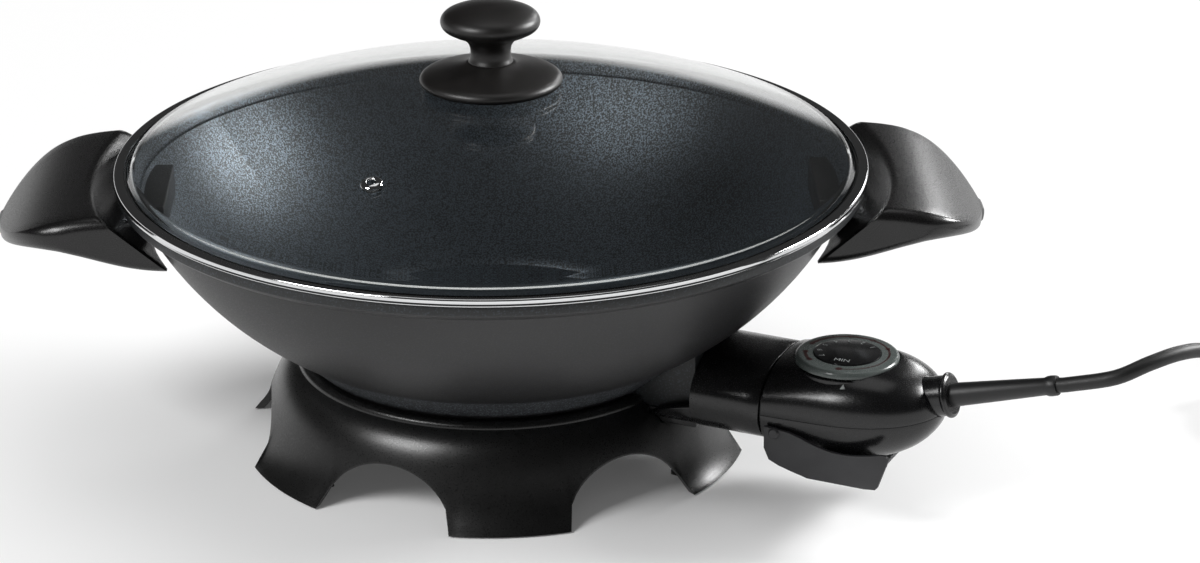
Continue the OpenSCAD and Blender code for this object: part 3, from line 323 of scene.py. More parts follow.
def bezier(p, t):
    u = 1 - t
    return tuple(u**3 * a + 3 * t * u**2 * b + 3 * t * t * u * c + t**3 * d for a, b, c, d in zip(*p))


def bezierLine(p, steps):
    return [bezier(p, i / steps) for i in range(steps + 1)]


def arcLine(centre, radius, start, end, steps):
    angles = [math.radians(start + (end - start) * i / steps) for i in range(steps + 1)]
    return [(centre[0] + radius * math.cos(a), centre[1] + radius * math.sin(a)) for a in angles]


def mixed(a, b, t):
    return a + (b - a) * t


def softPower(x, n):
    return math.copysign(abs(x) ** (2 / n), x)


def oval(a, b, n, count, start=0.0, sweep=360.0, closed=True):
    total = count if closed else count - 1
    angles = [math.radians(start + sweep * i / total) for i in range(count)]
    return [(a * softPower(math.cos(t), n), b * softPower(math.sin(t), n)) for t in angles]


def applyModifiers(piece):
    bpy.context.view_layer.update()
    evaluated = piece.evaluated_get(bpy.context.evaluated_depsgraph_get())
    mesh = bpy.data.meshes.new_from_object(evaluated)
    piece.modifiers.clear()
    old = piece.data
    piece.data = mesh
    bpy.data.meshes.remove(old)


def carve(piece, cutters, operation="DIFFERENCE"):
    helpers = []
    for bm in cutters:
        helper = finishPiece("cutter", bm, [], None, None)
        modifier = piece.modifiers.new("carve", "BOOLEAN")
        modifier.operation = operation
        modifier.solver = "EXACT"
        modifier.object = helper
        helpers.append(helper)
    applyModifiers(piece)
    for helper in helpers:
        mesh = helper.data
        bpy.data.objects.remove(helper)
        bpy.data.meshes.remove(mesh)


def smoothOver(piece, angle):  # smooth faces, with sharp edges past this angle
    piece.data.shade_smooth()
    piece.data.set_sharp_from_angle(angle=math.radians(angle))


def roundEdges(piece, width, angle=35, segments=2):
    modifier = piece.modifiers.new("roundEdges", "BEVEL")
    modifier.width = width * mm
    modifier.segments = segments
    modifier.limit_method = "ANGLE"
    modifier.angle_limit = math.radians(angle)
    modifier.affect = "EDGES"
    modifier.profile = 0.5
    modifier.material = -1
    applyModifiers(piece)
    smoothOver(piece, angle)


def cylinderBm(radius, low, high, steps, place):
    return moveAll(lathe([(0, low), (radius, low), (radius, high), (0, high)], steps), place)


def boxBm(low, high):
    bm = bmesh.new()
    bmesh.ops.create_cube(bm, size=1)
    middle = [(a + b) / 2 * mm for a, b in zip(low, high)]
    size = [(b - a) * mm for a, b in zip(low, high)]
    bmesh.ops.transform(bm, matrix=Matrix.Translation(middle) @ Matrix.Diagonal((*size, 1)), verts=bm.verts)
    return bm


def addSlab(bm, corners, push):  # an outline that is pushed out into a solid, in metres
    face = bm.faces.new([bm.verts.new(corner) for corner in corners])
    made = bmesh.ops.extrude_face_region(bm, geom=[face])
    lifted = [v for v in made["geom"] if isinstance(v, bmesh.types.BMVert)]
    bmesh.ops.translate(bm, vec=push, verts=lifted)
    return bm


def alongAxis(across, height):  # a place on the thermostat's axis, with its Z along it
    shift = Matrix.Translation(Vector((0, across, height)) * mm)
    return axisPlace @ shift @ Matrix.Rotation(math.pi / 2, 4, "Y")


lead = {
    "diameter": 7,
    "exit": (226.5, 60),  # distance along the axis and height
    "tilt": 15.6,
    "collarFront": 11,
    "collarLow": -8,
    "reliefLength": 52,
    "reliefBack": 5.5,  # radii
    "reliefTip": 4.4,
    "route": [
        (280, -141, 85),
        (296, -137, 90),
        (311, -128, 91),
        (325, -116, 87),
        (339, -104, 77),
        (353, -93, 63),
        (368, -82, 46),
        (383, -71, 29),
        (397, -60, 14),
    ],
    "coilMiddle": (403.1, 0),
    "coilOuter": 46.5,
    "coilPitch": 7.6,
    "coilLift": 1.1,
    "coilTurns": 4.25,
    "coilBegin": -65,
    "tailRun": 34,
    "plugHeight": 18.6,
}
leadTilt = math.radians(lead["tilt"])
leadWay = axisPlace @ Vector((math.cos(leadTilt), 0, math.sin(leadTilt)))
exitPoint = axisPlace @ Vector((lead["exit"][0], 0, lead["exit"][1]))
exitPlace = Matrix.Translation(exitPoint * mm) @ leadWay.to_track_quat("Z", "Y").to_matrix().to_4x4()
cordStart = exitPoint + (lead["collarFront"] + lead["reliefLength"]) * leadWay


def ease(t):
    u = max(0.0, min(1.0, t))
    return u * u * (3 - 2 * u)


def leadPoints(c):
    low = c["diameter"] / 2 + c["coilLift"]
    end = c["coilTurns"] * 360
    middle = c["coilMiddle"]

    def coilAt(turn):
        r = c["coilOuter"] - c["coilPitch"] * min(turn, end - turn) / 360
        a = math.radians(c["coilBegin"] + turn)
        height = low + c["coilPitch"] * ease((turn - end / 2 + 90) / 180)
        return Vector((middle[0] + r * math.cos(a), middle[1] + r * math.sin(a), height))

    begin = math.radians(c["coilBegin"])
    coilWay = Vector((-math.sin(begin), math.cos(begin), 0))
    last = math.radians(c["coilBegin"] + end)
    tailWay = Vector((-math.sin(last), math.cos(last), 0))
    points = [cordStart, cordStart + c["diameter"] * leadWay] + [Vector(p) for p in c["route"]]
    points.append(coilAt(0) - 1.6 * c["diameter"] * coilWay + Vector((0, 0, 0.5)))
    points += [coilAt(15 * i) for i in range(int(c["coilTurns"] * 24) + 1)]
    for i in range(1, 7):
        run = c["tailRun"] * i / 6
        point = coilAt(end) + run * tailWay
        point.z = mixed(coilAt(end).z, c["plugHeight"], ease((run - 2) / (c["tailRun"] - 8)))
        points.append(point)
    return points


def makeLead(c):
    points = leadPoints(c)
    curve = bpy.data.curves.new("mainsLead", "CURVE")
    curve.dimensions = "3D"
    curve.resolution_u = 6
    curve.bevel_depth = c["diameter"] / 2 * mm
    curve.bevel_resolution = 5
    curve.use_fill_caps = True
    spline = curve.splines.new("BEZIER")
    spline.bezier_points.add(len(points) - 1)
    for i, knot in enumerate(spline.bezier_points):
        before = points[max(i - 1, 0)]
        after = points[min(i + 1, len(points) - 1)]
        slope = (after - before) / (6 if 0 < i < len(points) - 1 else 3)
        knot.handle_left_type = knot.handle_right_type = "FREE"
        knot.co = points[i] * mm
        knot.handle_left = (points[i] - slope) * mm
        knot.handle_right = (points[i] + slope) * mm
    curve.materials.append(leadRubber)
    piece = bpy.data.objects.new("mainsLead", curve)
    scene.collection.objects.link(piece)
    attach(piece, "thermostat")
    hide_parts("cord", "cord_coil")
    length = spline.calc_length()
    return length


print("lead made, metres:", round(makeLead(lead), 3))

pan = {
    "rimRadius": 178.5,
    "rimHeight": 138.4,
    "rimBand": 4.4,
    "bottom": 46,
    "floorTop": 53,
    "curve": 161.5,
    "wall": 4,
    "footMeet": (108, 61.5),
    "footLow": (92, 48.3),
    "wallTop": (169.7, 129),
    "ledgeHeight": 131.2,
    "grooveRadius": 68,
    "grooveHalf": 3.55,
    "grooveTop": 51.05,
}


def circleCentre(p, q, radius):
    middle = Vector(((p[0] + q[0]) / 2, (p[1] + q[1]) / 2))
    along = Vector((q[0] - p[0], q[1] - p[1]))
    side = math.sqrt(radius**2 - along.length_squared / 4) / along.length
    return middle + side * Vector((-along.y, along.x))


bowlCentre = circleCentre(pan["footMeet"], pan["wallTop"], pan["curve"])


def panProfile(c):
    inner = c["curve"] - c["wall"]
    outerStart = math.degrees(math.atan2(c["footMeet"][1] - bowlCentre.y, c["footMeet"][0] - bowlCentre.x))
    outerEnd = math.degrees(math.atan2(c["wallTop"][1] - bowlCentre.y, c["wallTop"][0] - bowlCentre.x))
    innerStart = math.degrees(math.asin((c["floorTop"] - bowlCentre.y) / inner))
    innerEnd = math.degrees(math.asin((c["ledgeHeight"] - bowlCentre.y) / inner))
    ledge = bowlCentre.x + inner * math.cos(math.radians(innerEnd))
    top = c["rimHeight"]
    band = top - c["rimBand"]
    near, far = c["grooveRadius"] - c["grooveHalf"], c["grooveRadius"] + c["grooveHalf"]
    groove = [(near, c["bottom"]), (near, c["grooveTop"]), (far, c["grooveTop"]), (far, c["bottom"])]
    foot = [(c["footLow"][0] - 2, c["bottom"]), c["footLow"]]
    foot.append((c["footMeet"][0] - 1.5, c["footMeet"][1] - 0.8))
    wall = arcLine(bowlCentre, c["curve"], outerStart, outerEnd, 40)
    rim = [
        (c["rimRadius"] - 5.4, c["wallTop"][1] + 1.0),
        (c["rimRadius"] - 3.5, c["wallTop"][1] + 2.2),
        (c["rimRadius"] - 1.6, band - 1.5),
        (c["rimRadius"] - 0.5, band - 0.55),
        (c["rimRadius"] - 0.1, band - 0.1),
        (c["rimRadius"], band + 0.4),
        (c["rimRadius"], top - 0.7),
        (c["rimRadius"] - 0.2, top - 0.2),
        (c["rimRadius"] - 0.7, top),
        (ledge + 4.7, top),
        (ledge + 4.1, top - 0.4),
        (ledge + 3.4, top - 2),
        (ledge + 1.6, c["ledgeHeight"] + 0.8),
        (ledge + 0.8, c["ledgeHeight"] + 0.2),
    ]
    inside = arcLine(bowlCentre, inner, innerEnd, innerStart + 3, 44)
    meet = inside[-1][0]
    floor = [(meet - 2.5, c["floorTop"] + 0.35), (meet - 6, c["floorTop"] + 0.05), (0, c["floorTop"])]
    return [(0, c["bottom"])] + groove + foot + wall + rim + inside + floor


def paintPan(bm, c):
    for face in bm.faces:
        middle = face.calc_center_median() / mm
        r = math.hypot(middle.x, middle.y)
        depth = math.hypot(r - bowlCentre.x, middle.z - bowlCentre.y)
        if middle.z > c["floorTop"] - 0.5 and (depth < c["curve"] - 2 or r < bowlCentre.x + 50):
            face.material_index = 1
        elif r > c["rimRadius"] - 1 and middle.z > c["rimHeight"] - c["rimBand"] - 0.3:
            face.material_index = 2
        # the foot ring takes the lighter coat, painted light against the shade under the bowl
        elif r > c["footLow"][0] - 1 and middle.z < c["footMeet"][1]:
            face.material_index = 3


boss = {
    "start": 84,  # along the axis
    "face": 118.5,
    "halfWidth": 26,
    "bottom": 42,
    "top": 72,
    "edge": 1.25,
    "bores": [(-17, 47.5, 3.55), (17, 47.5, 3.55), (0, 54, 4.3)],  # across, height and radius
}
lug = {"face": 170, "halfWidth": 30, "low": 114, "high": 129, "depth": 16, "edge": 0.8}


def makeBoss(c):
    skinInside = pan["curve"] - 2
    low = pan["floorTop"] - 3
    bowlCut = [(0, low), (80, low)] + arcLine(bowlCentre, skinInside, -66, -20, 30)
    bowlCut.append((0, bowlCentre.y - skinInside * math.sin(math.radians(20))))
    cuts = [lathe(bowlCut, 96)]
    for across, height, radius in c["bores"]:
        cuts.append(cylinderBm(radius, c["start"] - 5, c["face"] + 5, 48, alongAxis(across, height)))
    bm = boxBm((c["start"], -c["halfWidth"], c["bottom"]), (c["face"], c["halfWidth"], c["top"]))
    piece = finishPiece("heaterBoss", bm, [bandCoat], "cooker", "nonstick_pan")
    piece.data.transform(axisPlace)
    carve(piece, cuts)
    roundEdges(piece, c["edge"], 50)


def makeLugs(c):
    for side, name in ((1, "rightLug"), (-1, "leftLug")):
        low, high = sorted((side * (c["face"] - c["depth"]), side * c["face"]))
        bm = boxBm((low, -c["halfWidth"], c["low"]), (high, c["halfWidth"], c["high"]))
        roundEdges(finishPiece(name, bm, [wallCoat], "cooker", "nonstick_pan"), c["edge"], 50)


def makePan(c):
    bm = lathe(panProfile(c), roundSteps)
    paintPan(bm, c)
    coats = [wallCoat, bowlCoat, bandCoat, footCoatPaintedLight]
    finishPiece("castPan", bm, coats, "cooker", "nonstick_pan", ["pan"])


makePan(pan)
makeBoss(boss)
makeLugs(lug)
print("pan made")

lid = {
    "ringRadius": 180,
    "ringLow": 138.55,
    "ringTop": 142.35,
    "sheet": 0.6,
    "gap": 0.1,
    "glass": 4,
    "domeRise": 37.5,
    "ventTurn": 240.6,
    "ventRadius": 111,
    "ventBore": 2.2,
}
domeEdge = (lid["ringRadius"] - 10, lid["ringTop"] + 3.65)
apex = lid["ringTop"] + lid["domeRise"]
domeDrop = apex - domeEdge[1]
domeCurve = (domeEdge[0] ** 2 + domeDrop**2) / (2 * domeDrop)
domeCentre = apex - domeCurve
domeSlope = math.degrees(math.asin(domeEdge[0] / domeCurve))


def lidProfile(c):
    brimTop = c["ringTop"] - c["sheet"] - c["gap"]
    brimLow = c["ringLow"] + c["sheet"] + c["gap"]
    edge = c["ringRadius"] - c["sheet"] - 0.4
    slope = math.radians(domeSlope)
    run = Vector((math.cos(slope), -math.sin(slope)))
    inward = Vector((-math.sin(slope), -math.cos(slope)))
    top = Vector(domeEdge)
    low = top + c["glass"] * inward
    r = c["ringRadius"]
    stepTop = [(r - 5.4, brimTop), (r - 6.9, brimTop), tuple(top + 2.4 * run), tuple(top)]
    stepLow = [(r - 8.6, brimLow), (r - 10, brimLow), tuple(low + 1.8 * run), tuple(low)]
    centre = (0, domeCentre)
    outer = bezierLine(stepTop, 16)[:-1] + arcLine(centre, domeCurve, 90 - domeSlope, 90, 40)
    inner = arcLine(centre, domeCurve - c["glass"], 90, 90 - domeSlope, 40)
    inner += bezierLine(stepLow, 16)[::-1][1:]
    brim = [(edge, brimLow + 0.4), (edge, brimTop - 0.4), (edge - 0.4, brimTop)]
    return brim + outer + inner + [(edge - 0.4, brimLow), brim[0]]


def rimProfile(c):
    r, top, low, t = c["ringRadius"], c["ringTop"], c["ringLow"], c["sheet"]
    middle = (top + low) / 2
    outside = arcLine((r - 0.9, top - 0.9), 0.9, 90, 10, 5)
    outside += [(r - 0.28, middle + 0.5), (r - 0.42, middle), (r - 0.28, middle - 0.5)]
    outside += arcLine((r - 0.9, low + 0.9), 0.9, -10, -90, 5)
    inside = [(r - 5.4, low), (r - 5.6, low + t / 2), (r - 5.4, low + t), (r - t - 0.2, low + t)]
    inside += [(r - t, low + t + 0.2), (r - t, top - t - 0.2), (r - t - 0.2, top - t)]
    inside += [(r - 4.8, top - t), (r - 5.0, top - t / 2), (r - 4.8, top)]
    return outside + inside


knobParts = {"radius": 24, "skirt": 34.5, "base": 179.95, "scale": 40 / 39.7}


def knobAt(r, k):
    return (r, knobParts["base"] + k * knobParts["scale"])


def skirtProfile(c):
    r = c["skirt"]
    top = [(r - 3, 5.6), (r - 8, 7), (r - 15, 8.2), (14, 9.6), (11, 11.4)]
    edge = bezierLine([(r - 3.4, 0.2), (r + 0.4, 0.7), (r + 0.5, 4.2), (r - 3, 5.6)], 10)
    crown = bezierLine([top[0], (r - 9, 7.6), (16, 8.6), (11, 11.4)], 14)[1:]
    return [knobAt(*p) for p in [(0, 0.2)] + edge + crown + [(0, 11.4)]]


def knobProfile(c):
    r = c["radius"]
    neck = bezierLine([(9.9, 13), (8.6, 20.5), (11, 23), (r - 5, 26.2)], 14)
    edge = bezierLine([(r - 2.4, 27.6), (r + 0.7, 29.6), (r + 0.5, 34), (r - 4, 36)], 12)
    crown = bezierLine([edge[-1], (r - 9, 38.3), (r - 16, 39.6), (0, 39.7)], 12)[1:]
    foot = [(10.6, 11.6), (10.5, 12.2)]
    return [knobAt(*p) for p in [(0, 11.6)] + foot + neck + edge + crown]


def eyeletProfile(c):
    deep = c["glass"]
    rolled = [(c["ventBore"], -deep - 0.9), (c["ventBore"], 0.7)] + arcLine((3.1, 0.8), 0.9, 180, 90, 4)
    lip = [(4.2, 1.35), (4.9, 0.8), (5.2, 0.3), (5.1, 0.1), (3.4, 0.1)]
    return rolled + lip + [(3.4, -deep - 0.1), (4.6, -deep - 0.1), (4.6, -deep - 0.7)]


def makeLid(c):
    bm = lathe(lidProfile(c), roundSteps)
    glass = finishPiece("domedGlass", bm, [lidGlass], "lid", "lid_glass", ["lid_glass"])
    bm = lathe(rimProfile(c), roundSteps, closed=True)
    finishPiece("rolledRim", bm, [polishedSteel], "lid", "polished_steel", ["lid_rim"])
    bm = lathe(skirtProfile(knobParts), 128)
    finishPiece("knobSkirt", bm, [knobPhenolic], "lid", "knob_plastic", ["knob_skirt"])
    bm = lathe(knobProfile(knobParts), 128)
    finishPiece("lidKnob", bm, [knobPhenolic], "lid", "knob_plastic", ["knob"])
    place = (
        Matrix.Rotation(math.radians(c["ventTurn"]), 4, "Z")
        @ Matrix.Translation((0, 0, domeCentre * mm))
        @ Matrix.Rotation(math.asin(c["ventRadius"] / domeCurve), 4, "Y")
        @ Matrix.Translation((0, 0, domeCurve * mm))
    )
    bm = moveAll(lathe(eyeletProfile(c), 64, closed=True), place)
    finishPiece("ventEyelet", bm, [polishedSteel], "lid", "polished_steel", ["vent_eyelet"])
    carve(glass, [cylinderBm(3.45, -8, 8, 48, place)])
    smoothOver(glass, 35)


makeLid(lid)
print("lid made")

sleeve = {
    "start": 119,
    "end": 153.7,
    "height": 50.6,  # of its middle line
    "halfWide": 33.5,
    "halfHigh": 20,
    "square": 2.25,
    "wall": 3,
    "lip": 0.6,
    "floor": 4.5,
    "bores": [(0, 54, 4.45), (17, 47.5, 4.7), (-17, 47.5, 4.7)],  # across, height and radius
    "scoop": [(97, 34), (102, 22), (108, 14), (114, 9), (119.6, 5)],  # along, and degrees cut off
    "tongue": [(86, -26.7, 34.5), (119.5, 26.7, 41.9)],
}

stand = {
    "height": 46,
    "plateInner": 77,
    "lip": 95.4,
    "footRadius": 123.2,
    "footHeight": 0.8,
    "wall": 3,
    "archRadius": 37,
    "archHeight": 26.5,
    "legs": 6,
    "edge": 0.7,
    "notch": [(72, -27, 34.2), (132, 27, 64.2)],  # room for the heater's boss
    "saddle": (34, 20.5, 95.4, 140),  # half sizes of the seat under the sleeve, and its reach
    "shelf": [(104, 3.5), (119, 3.5), (117, 6), (104, 6)],
    "shelfTurns": (-9.5, -5, 0, 5, 9.5),
}


def standOuter(c, t):
    x, z = c["lip"] + 0.6, c["height"] - 3
    foot = (c["footRadius"], c["footHeight"])
    return bezier([(x, z), (x + 16, z - 7), (foot[0] - 15.2, 14), foot], t)


def standInner(c, t):
    before, after = Vector(standOuter(c, max(t - 0.01, 0))), Vector(standOuter(c, min(t + 0.01, 1)))
    run = (after - before).normalized()
    return tuple(Vector(standOuter(c, t)) + c["wall"] * Vector((run.y, -run.x)))


def lowestClear(isClear):  # how far along a meridian its wall goes before it meets an arch or the feet
    if isClear(1):
        return 1.0
    a, b = 0.0, 1.0
    for _ in range(30):
        middle = (a + b) / 2
        a, b = (middle, b) if isClear(middle) else (a, middle)
    return a


def standSide(c, side, offsets, corner):
    axis = c["archHeight"] - c["archRadius"]

    def clear(t, offset):
        r, z = side(c, t)
        across = r * math.sin(offset)
        under = abs(offset) < corner - 1e-6 and abs(across) < c["archRadius"]
        inArch = under and z < axis + math.sqrt(c["archRadius"] ** 2 - across**2)
        return z >= c["footHeight"] - 1e-6 and not inArch

    return [lowestClear(lambda t, o=o: clear(t, o)) for o in offsets]


def ringAt(points, turns):
    return [(r * math.cos(a), r * math.sin(a), z) for (r, z), a in zip(points, turns)]


def makeStand(c):
    sector = fullTurn / c["legs"]
    axisUp = c["footHeight"] - c["archHeight"] + c["archRadius"]  # the feet above the arch's middle
    half = math.sqrt(c["archRadius"] ** 2 - axisUp**2)
    low = lowestClear(lambda t: standInner(c, t)[1] >= c["footHeight"])
    corners = [math.asin(half / c["footRadius"]), math.asin(half / standInner(c, low)[0])]
    shares = [(i / 12, 0) for i in range(-12, 12)] + [(1, i / 14) for i in range(14)]
    walls = []
    for side, corner in zip((standOuter, standInner), corners):
        offsets = [a * corner + b * (sector - 2 * corner) for a, b in shares]
        drops = standSide(c, side, offsets, corner)
        middles = [math.radians(axisTurn) + (leg + 0.5) * sector for leg in range(c["legs"])]
        turns = [middle + offset for middle in middles for offset in offsets]
        walls.append((side, turns, drops * c["legs"]))
    edgeTurns = walls[0][1]
    flat = [(c["plateInner"], c["height"]), (c["lip"] - 2.6, c["height"])]
    flat += arcLine((c["lip"] - 2.4, c["height"] - 3), 3, 88, 8, 5)
    under = c["height"] - c["wall"]
    inside = [(c["lip"] - 4, under), (c["plateInner"], under)]
    rings = [ringAt([(r, z)] * len(edgeTurns), edgeTurns) for r, z in flat]
    steps = 22
    for (side, turns, drops), order in zip(walls, (range(steps + 1), range(steps, -1, -1))):
        rings += [ringAt([side(c, drop * i / steps) for drop in drops], turns) for i in order]
    rings += [ringAt([(r, z)] * len(edgeTurns), edgeTurns) for r, z in inside + flat[:1]]
    looks = [standPhenolic], "cooker", "stand_plastic"
    piece = finishPiece("flaredStand", skin(rings), *looks, ["stand"], 50)
    halfWide, halfHigh, near, far = c["saddle"]
    outline = [(y, z + sleeve["height"]) for y, z in oval(halfWide, halfHigh, sleeve["square"], 64)]
    seat = skin([[(x, y, z) for y, z in outline] for x in (near, far)], True, True)
    carve(piece, [moveAll(boxBm(*c["notch"]), axisPlace), moveAll(seat, axisPlace)])
    roundEdges(piece, c["edge"], 50)
    turns = [math.radians(a) for a in c["shelfTurns"]]
    low = [(standOuter(c, t)[0] - 1.5, standOuter(c, t)[1]) for t in (0.5, 0.85)]
    ribSide = [(89, 43.5), (96, 38.5)] + low + [(104, 5)]
    for leg in range(c["legs"]):
        place = Matrix.Rotation(math.radians(axisTurn) + leg * sector, 4, "Z")
        shelf = skin([ringAt(c["shelf"], [a] * 4) for a in turns], True, True)
        rib = skin([[(r, w, z) for r, z in ribSide] for w in (-1, 1)], True, True)
        for name, bm in (("legShelf", shelf), ("legRib", rib)):
            finishPiece(name, moveAll(bm, place), *looks)


makeStand(stand)
print("stand made")

handle = {
    "tip": 235.4,
    "shoulder": 196,
    "width": 130,
    "edge": 6,
    "top": [(150, 137.4), (196, 139.8), (212, 136.5), (235.4, 116.6)],
    "bottom": [(148, 110.2), (188, 109), (204, 134.5), (235, 110)],
    "faceLow": (161.5, 110),
    "faceHigh": (190.2, 136),
    # the inner face in rings: each one's share of the section, and how far it stands off the cone
    "face": [(0.2, 0), (0.55, 0), (0.8, 0), (0.93, 0), (0.97, 0.35)],
    "nose": 2,
    "stations": 44,
}


def handleHalf(c, x):
    u = max(0.0, min(1.0, (x - c["shoulder"]) / (c["tip"] + 0.6 - c["shoulder"])))
    return c["width"] / 2 * (1 - u**2.4) ** 0.62


# Walks round the box by its own arc length, so the corners keep their points
def roundedBoxPoint(a, b, r, angle):
    signs = ((1, 1), (-1, 1), (-1, -1), (1, -1))
    d = (angle / fullTurn) % 1 * 4
    side = int(d)
    share = d - side
    here, after = [(x * (a - r), y * (b - r)) for x, y in (signs[side], signs[(side + 1) % 4])]
    start = side * math.pi / 2
    if share < 0.5:  # on the corner
        turn = start + share / 0.5 * math.pi / 2
        return here[0] + r * math.cos(turn), here[1] + r * math.sin(turn)
    g = (share - 0.5) / 0.5
    out = math.cos(start + math.pi / 2), math.sin(start + math.pi / 2)
    return mixed(here[0], after[0], g) + r * out[0], mixed(here[1], after[1], g) + r * out[1]


def handlePoint(c, t, angle, inset=1.0):
    top, low = bezier(c["top"], t), bezier(c["bottom"], t)
    halfHigh = (top[1] - low[1]) / 2
    halfWide = handleHalf(c, (top[0] + low[0]) / 2)
    a, b = halfWide * inset, halfHigh * inset
    y, z = roundedBoxPoint(a, b, min(c["edge"], a * 0.9, b * 0.9), angle)
    v = (z / halfHigh + 1) / 2
    return Vector((mixed(low[0], top[0], v), y, mixed(low[1], top[1], v)))


def faceRadius(c, z):
    (r0, z0), (r1, z1) = c["faceLow"], c["faceHigh"]
    return r0 + (z - z0) * (r1 - r0) / (z1 - z0)


def handleStart(c, angle, inset, extra):  # where a line along the handle leaves the cone of its inner face
    a, b = 0.0, 1.0
    for _ in range(30):
        middle = (a + b) / 2
        p = handlePoint(c, middle, angle, inset)
        if math.hypot(p.x, p.y) < faceRadius(c, p.z) + extra:
            a = middle
        else:
            b = middle
    return b


def handleRings(c):
    count = 96
    angles = [fullTurn * i / count for i in range(count)]
    rings = []
    for inset, extra in c["face"]:
        rings.append([handlePoint(c, handleStart(c, a, inset, extra), a, inset) for a in angles])
    starts = [handleStart(c, a, 1.0, 1.6) for a in angles]
    for i in range(c["stations"] + 1):
        s = i / c["stations"]
        rings.append([handlePoint(c, mixed(start, 1.0, s), a) for a, start in zip(angles, starts)])
    last = rings[-1]
    middle = sum(last, Vector()) / count
    for a in (0.5, 0.95, 1.3):
        out = Vector((c["nose"] * math.sin(a), 0, 0))
        rings.append([mixed(middle, p, math.cos(a)) + out for p in last])
    return rings


def makeHandles(c):
    for turn, side in ((0, "right"), (180, "left")):
        bm = moveAll(skin(handleRings(c), True, True), Matrix.Rotation(math.radians(turn), 4, "Z"))
        looks = [handlePhenolic], "cooker", "handle_plastic", [side + "_handle"]
        finishPiece(side + "HandleGrip", bm, *looks, 45)


makeHandles(handle)
print("handles made")


def makeSleeve(c):
    def bowlEnd(w, z):
        r = bowlCentre.x + math.sqrt(max(pan["curve"] ** 2 - (z - bowlCentre.y) ** 2, 0)) + 0.3
        return math.sqrt(max(r * r - w * w, 0)) if z > pan["footMeet"][1] else 0

    sizes = (c["halfWide"], c["halfHigh"]), (c["halfWide"] - c["wall"], c["halfHigh"] - c["wall"])
    outer, inner = [[(w, z + c["height"]) for w, z in oval(a, b, c["square"], 96)] for a, b in sizes]
    begins = [max(c["start"], bowlEnd(w, z)) for w, z in outer]
    end, lip, floor = c["end"], c["lip"], c["start"] + c["floor"]

    def between(along, t):  # a ring on the end face, from the outer edge to the inner one
        return [(along, mixed(w, v, t), mixed(z, y, t)) for (w, z), (v, y) in zip(outer, inner)]

    rings = [[(c["start"] + 3, w * 0.2, mixed(c["height"], z, 0.2)) for w, z in outer]]
    rings.append([(x, mixed(0, w, 0.9), mixed(c["height"], z, 0.9)) for x, (w, z) in zip(begins, outer)])
    for i in range(5):
        rings.append([(mixed(x, end - lip, i / 4), w, z) for x, (w, z) in zip(begins, outer)])
    rings += [between(end - lip * 0.3, 0.08), between(end, 0.25), between(end, 0.8)]
    rings += [[(x, w, z) for w, z in inner] for x in (end - lip * 0.5, floor)]
    rings.append([(floor, mixed(w, 0, 0.8), mixed(z, c["height"], 0.8)) for w, z in inner])
    looks = [sleevePlastic], "cooker", "sleeve_plastic"
    bm = moveAll(skin(rings, True, True), axisPlace)
    piece = finishPiece("socketSleeve", bm, *looks, ["socket_sleeve"], 45)
    reach = c["start"] - 5, c["start"] + 12, 48
    carve(piece, [cylinderBm(radius, *reach, alongAxis(w, z)) for w, z, radius in c["bores"]])
    smoothOver(piece, 45)
    rings = []
    for along, cut in c["scoop"]:  # the lower lip that reaches under the boss
        span = c["square"], 41, 180 + cut, 180 - 2 * cut, False
        low, high = [oval(a, b, *span) for a, b in sizes]
        rings.append([(along, w, z + c["height"]) for w, z in low + high[::-1]])
    bm = moveAll(skin(rings, True, True), axisPlace)
    roundEdges(finishPiece("sleeveScoop", bm, *looks, angle=45), 1.3, 50, 3)
    bm = moveAll(boxBm(*c["tongue"]), axisPlace)
    roundEdges(finishPiece("sleeveTongue", bm, *looks), 0.8, 50)


makeSleeve(sleeve)

housing = {
    "start": 155,
    "length": 79,
    "belly": 27.7,
    "halfWide": 33.5,
    "halfHigh": 23.7,
    "startHigh": 20,
    "rise": 3,
    "square": 2.5,
    "wall": 2.5,
    "dialX": 184.5,
    "dialSeat": 70.8,
    "dialRadius": 24.8,
    "exitBore": 9.7,
    # along, across and up
    "pointer": [(192.5, -24.9, 69.85), (191.6, -27.2, 68.05), (194, -26.8, 68.3)],
}
dialMiddle = axisPlace @ Matrix.Translation((housing["dialX"] * mm, 0, 0))


def housingSection(c, s, side):
    k = max(0.0, s - c["belly"]) / (c["length"] - c["belly"])
    closing = math.sqrt(max(0.0, 1 - k**2.5))
    swell = math.sin(math.pi / 2 * min(1.0, s / c["belly"]))
    a = c["halfWide"] * closing
    b = mixed(c["startHigh"], c["halfHigh"], swell) * closing
    middle = sleeve["height"] + c["rise"] * (max(0.0, s) / c["length"]) ** 1.5
    points = oval(a, b, c["square"], 41, 0, 180, closed=False)
    return [(sleeve["end"] + s, side * y, middle + side * z + side * 0.12) for y, z in points]


